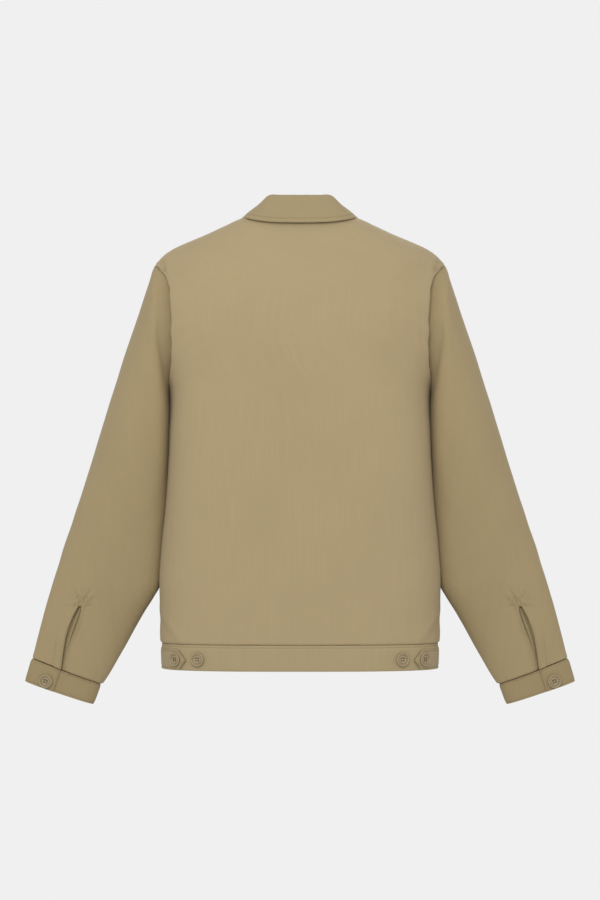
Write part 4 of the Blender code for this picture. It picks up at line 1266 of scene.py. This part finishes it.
def zip_box(name, lo, hi, bevel=0.25, mat=None):
    verts = [zip_point(x, o, z) for x in (lo[0], hi[0]) for o in (lo[1], hi[1]) for z in (lo[2], hi[2])]
    ob = closed_mesh(name, verts, [(0, 1, 3, 2), (4, 6, 7, 5), (0, 4, 5, 1), (2, 3, 7, 6), (0, 2, 6, 4), (1, 5, 7, 3)],
                     mat or BRASS)
    if bevel:
        mod = ob.modifiers.new("bevel", "BEVEL")
        mod.width, mod.segments, mod.limit_method = bevel * MM, 2, "ANGLE"
        bpy.context.view_layer.objects.active = ob
        bpy.ops.object.modifier_apply(modifier=mod.name)
        ob.data.polygons.foreach_set("use_smooth", [True] * len(ob.data.polygons))
        ob.data.set_sharp_from_angle(angle=math.radians(50))
    return ob


tape_g = np.array([[zip_point(x, 0, z) for x in (3.3, 3.8, 5, 8, 12, 16, 19, 21, 22)]
                   for z in np.linspace(-619, -90, 140)])
tape_l = cloth("left_tape", tape_g, TAPE, 0.8, np.full(tape_g.shape[:2], -2.7), facing=(0, 0, -350))
tape_r = mirror(tape_l, "right_tape")
place(tape_l, "torso", "left_zip_tape", "zip_tape")
place(tape_r, "torso", "right_zip_tape", "zip_tape")

TOOTH_STEP = 2.9
TOOTH = [(3.3, -0.95), (1.2, -0.95), (0.1, -0.55), (-1.0, -0.75), (-1.25, 0), (-1.0, 0.75), (0.1, 0.55), (1.2, 0.95),
         (3.3, 0.95)]


def teeth(name, side, phase):
    verts, faces = [], []
    z = ZIP_BOTTOM_Z + 1.4 + phase
    while z + 1 < ZIP_TOP_Z - 0.5:
        base, k = len(verts), len(TOOTH)
        for out in (-4.3, -3.9, -2.3, -1.9):
            inset = 0.22 if out in (-4.3, -1.9) else 0
            for x, dz in TOOTH:
                verts.append(zip_point(side * (x - inset if x > 3 else x + inset * (x < 0)), out,
                                       z + dz * (1 - inset)))
        for layer in range(3):
            for i in range(k):
                a, b = base + layer * k + i, base + layer * k + (i + 1) % k
                faces.append((a, b, b + k, a + k))
        faces += [tuple(base + i for i in reversed(range(k))), tuple(base + 3 * k + i for i in range(k))]
        z += TOOTH_STEP
    if side < 0:
        faces = [tuple(reversed(f)) for f in faces]
    ob = closed_mesh(name, verts, faces, BRASS)
    return ob


for side, label, phase in ((1, "left", 0), (-1, "right", TOOTH_STEP / 2)):
    place(teeth(label + "_teeth", side, phase), "torso", label + "_zip_teeth", "brass")
    x0, x1 = sorted((side * 0.9, side * 2.9))
    place(zip_box(label + "_stop", (x0, -4.3, -97.4), (x1, -1.9, -95.6)), "torso", label + "_zip_top_stop", "brass")
place(zip_box("end_box", (-2.9, -4.5, -626.0), (2.9, -1.7, -620.4), 0.5), "torso", "zip_retainer_box", "brass")
place(zip_box("end_pin", (0.4, -4.1, -620.0), (2.4, -2.1, -612.6), 0.4), "torso", "zip_insertion_pin", "brass")

slider_parts = [zip_box("plate", (-4.4, -1.4, -100.6), (4.4, 0.1, -84.4), 0.7),
                zip_box("plate", (-4.4, -6.2, -100.6), (4.4, -4.9, -84.4), 0.6),
                *[zip_box("flange", (x, o, -100.2), (x + 0.6, o + 0.8, -84.8), 0.15)
                  for x in (-4.3, 3.7) for o in (-5.1, -1.9)],
                zip_box("bail", (-0.8, -0.2, -97), (0.8, 0.9, -95.3), 0.25),
                zip_box("bail", (-0.8, -0.2, -88.6), (0.8, 0.9, -87), 0.25),
                zip_box("bail", (-0.8, 0.3, -97), (0.8, 2.6, -95.6), 0.25),
                zip_box("bail", (-0.8, 0.3, -88.4), (0.8, 2.6, -87), 0.25),
                zip_box("bail", (-0.8, 2.75, -97), (0.8, 3.9, -87), 0.35)]
slider = join("slider_body", slider_parts)
place(slider, "slider", "zip_slider", "brass")


pull_parts = [zip_box("tag", (-3.1, 0.9, -123.6), (3.1, 1.9, -98.6), 0.45),
              zip_box("arm", (-3.1, 0.9, -99.2), (-1.5, 1.9, -91.0), 0.4),
              zip_box("arm", (1.5, 0.9, -99.2), (3.1, 1.9, -91.0), 0.4),
              zip_box("bar", (-3.0, 1.0, -91.4), (3.0, 1.8, -90.5), 0.3),
              zip_box("rib", (-1.9, 1.7, -121.5), (1.9, 2.15, -103.5), 0.35)]
pull = join("slider_tag", pull_parts)
place(pull, "pull", "zip_pull", "brass")


# ---- stitching ----
def both_sides(ob, body_left="torso", arm=False):
    """Keep a left-hand row of stitches and add its mirror image."""
    other = mirror(ob, ob.name.replace("left", "right"))
    for o, side in ((ob, "left"), (other, "right")):
        if arm:
            place_on_arm(o, side, None, bends=False)
        else:
            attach(o, body_left)
    return ob, other


back_rows = join("back_stitches", [
    stitch("s", "back_band", "last_row", 3.4, radius=0.30),
    stitch("s", "collar_fold", "last_row", 6.5, radius=0.34),
    stitch("s", "collar_fold", "first_col", 6.5, 0.18, 1.0, radius=0.34),
    stitch("s", "collar_fold", "last_col", 6.5, 0.18, 1.0, radius=0.34),
    stitch("s", "collar_band", "first_row", 2.2, radius=0.30)])
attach(back_rows, "torso")

both_sides(join("left_front_stitches", [
    stitch("s", "left_front_band", "last_row", 3.4, 0.02, 1.0, radius=0.30),
    stitch("s", "left_front_body", "first_col", 2.0, radius=0.32),
    stitch("s", "left_front_body", "first_col", 8.0, radius=0.32),
    stitch("s", "left_front_band", "first_col", 2.4, radius=0.32),
    stitch("s", "left_welt", "first_row", 2.4, 0.1, 0.9, radius=0.30),
    stitch("s", "left_welt", "last_row", 2.4, 0.1, 0.9, radius=0.30),
    stitch("s", "left_welt", "first_col", 2.4, 0.02, 0.98, radius=0.30),
    stitch("s", "left_welt", "last_col", 2.4, 0.02, 0.98, radius=0.30),
    stitch("s", "left_adjuster_tab", "first_row", 2.4, 0.0, 0.99, radius=0.32),
    stitch("s", "left_adjuster_tab", "last_row", 2.4, 0.0, 0.99, radius=0.32)]))

both_sides(join("left_arm_stitches", [
    stitch("s", "left_cuff_cloth", "last_row", 2.6, 0.02, 1.0, radius=0.30),
    stitch("s", "left_cuff_cloth", "first_row", 2.6, 0.02, 1.0, radius=0.30),
    stitch("s", "left_cuff_cloth", "first_col", 2.8, 0.05, 0.95, radius=0.30)]), arm=True)


def sleeve_line(offset, t0, t1, outer=True):
    """Points along the slit, offset mm from its edge."""
    top, n, _, _ = SURFACES["left_arm_cloth"]
    path, normals = [], []
    for r, t in enumerate(SLEEVE_TS):
        if not t0 <= t <= t1:
            continue
        cols = range(SLIT_COL, 4, -1) if outer else range(SLIT_COL + 1, top.shape[1])
        pts, nn = top[r, list(cols)], n[r, list(cols)]
        s = np.concatenate([[0], np.cumsum(np.linalg.norm(np.diff(pts, axis=0), axis=1))])
        path.append([np.interp(offset, s, pts[:, i]) for i in range(3)])
        normals.append([np.interp(offset, s, nn[:, i]) for i in range(3)])
    return np.array(path), np.array(normals)


slit_rows = [thread_line("s", *sleeve_line(2.6, SLIT_TOP_T + 0.005, 0.99, False), radius=0.28),
             thread_line("s", *sleeve_line(13.6, 0.87, 0.992), radius=0.30),
             thread_line("s", *sleeve_line(2.2, 0.80, 0.992), radius=0.30)]
both_sides(join("left_slit_stitches", slit_rows), arm=True)

for ob in list(bpy.data.objects):
    if ob.type == "MESH" and not ob.data.materials and ob.name not in frame["nodes"]:
        ob.data.materials.append(TWILL)
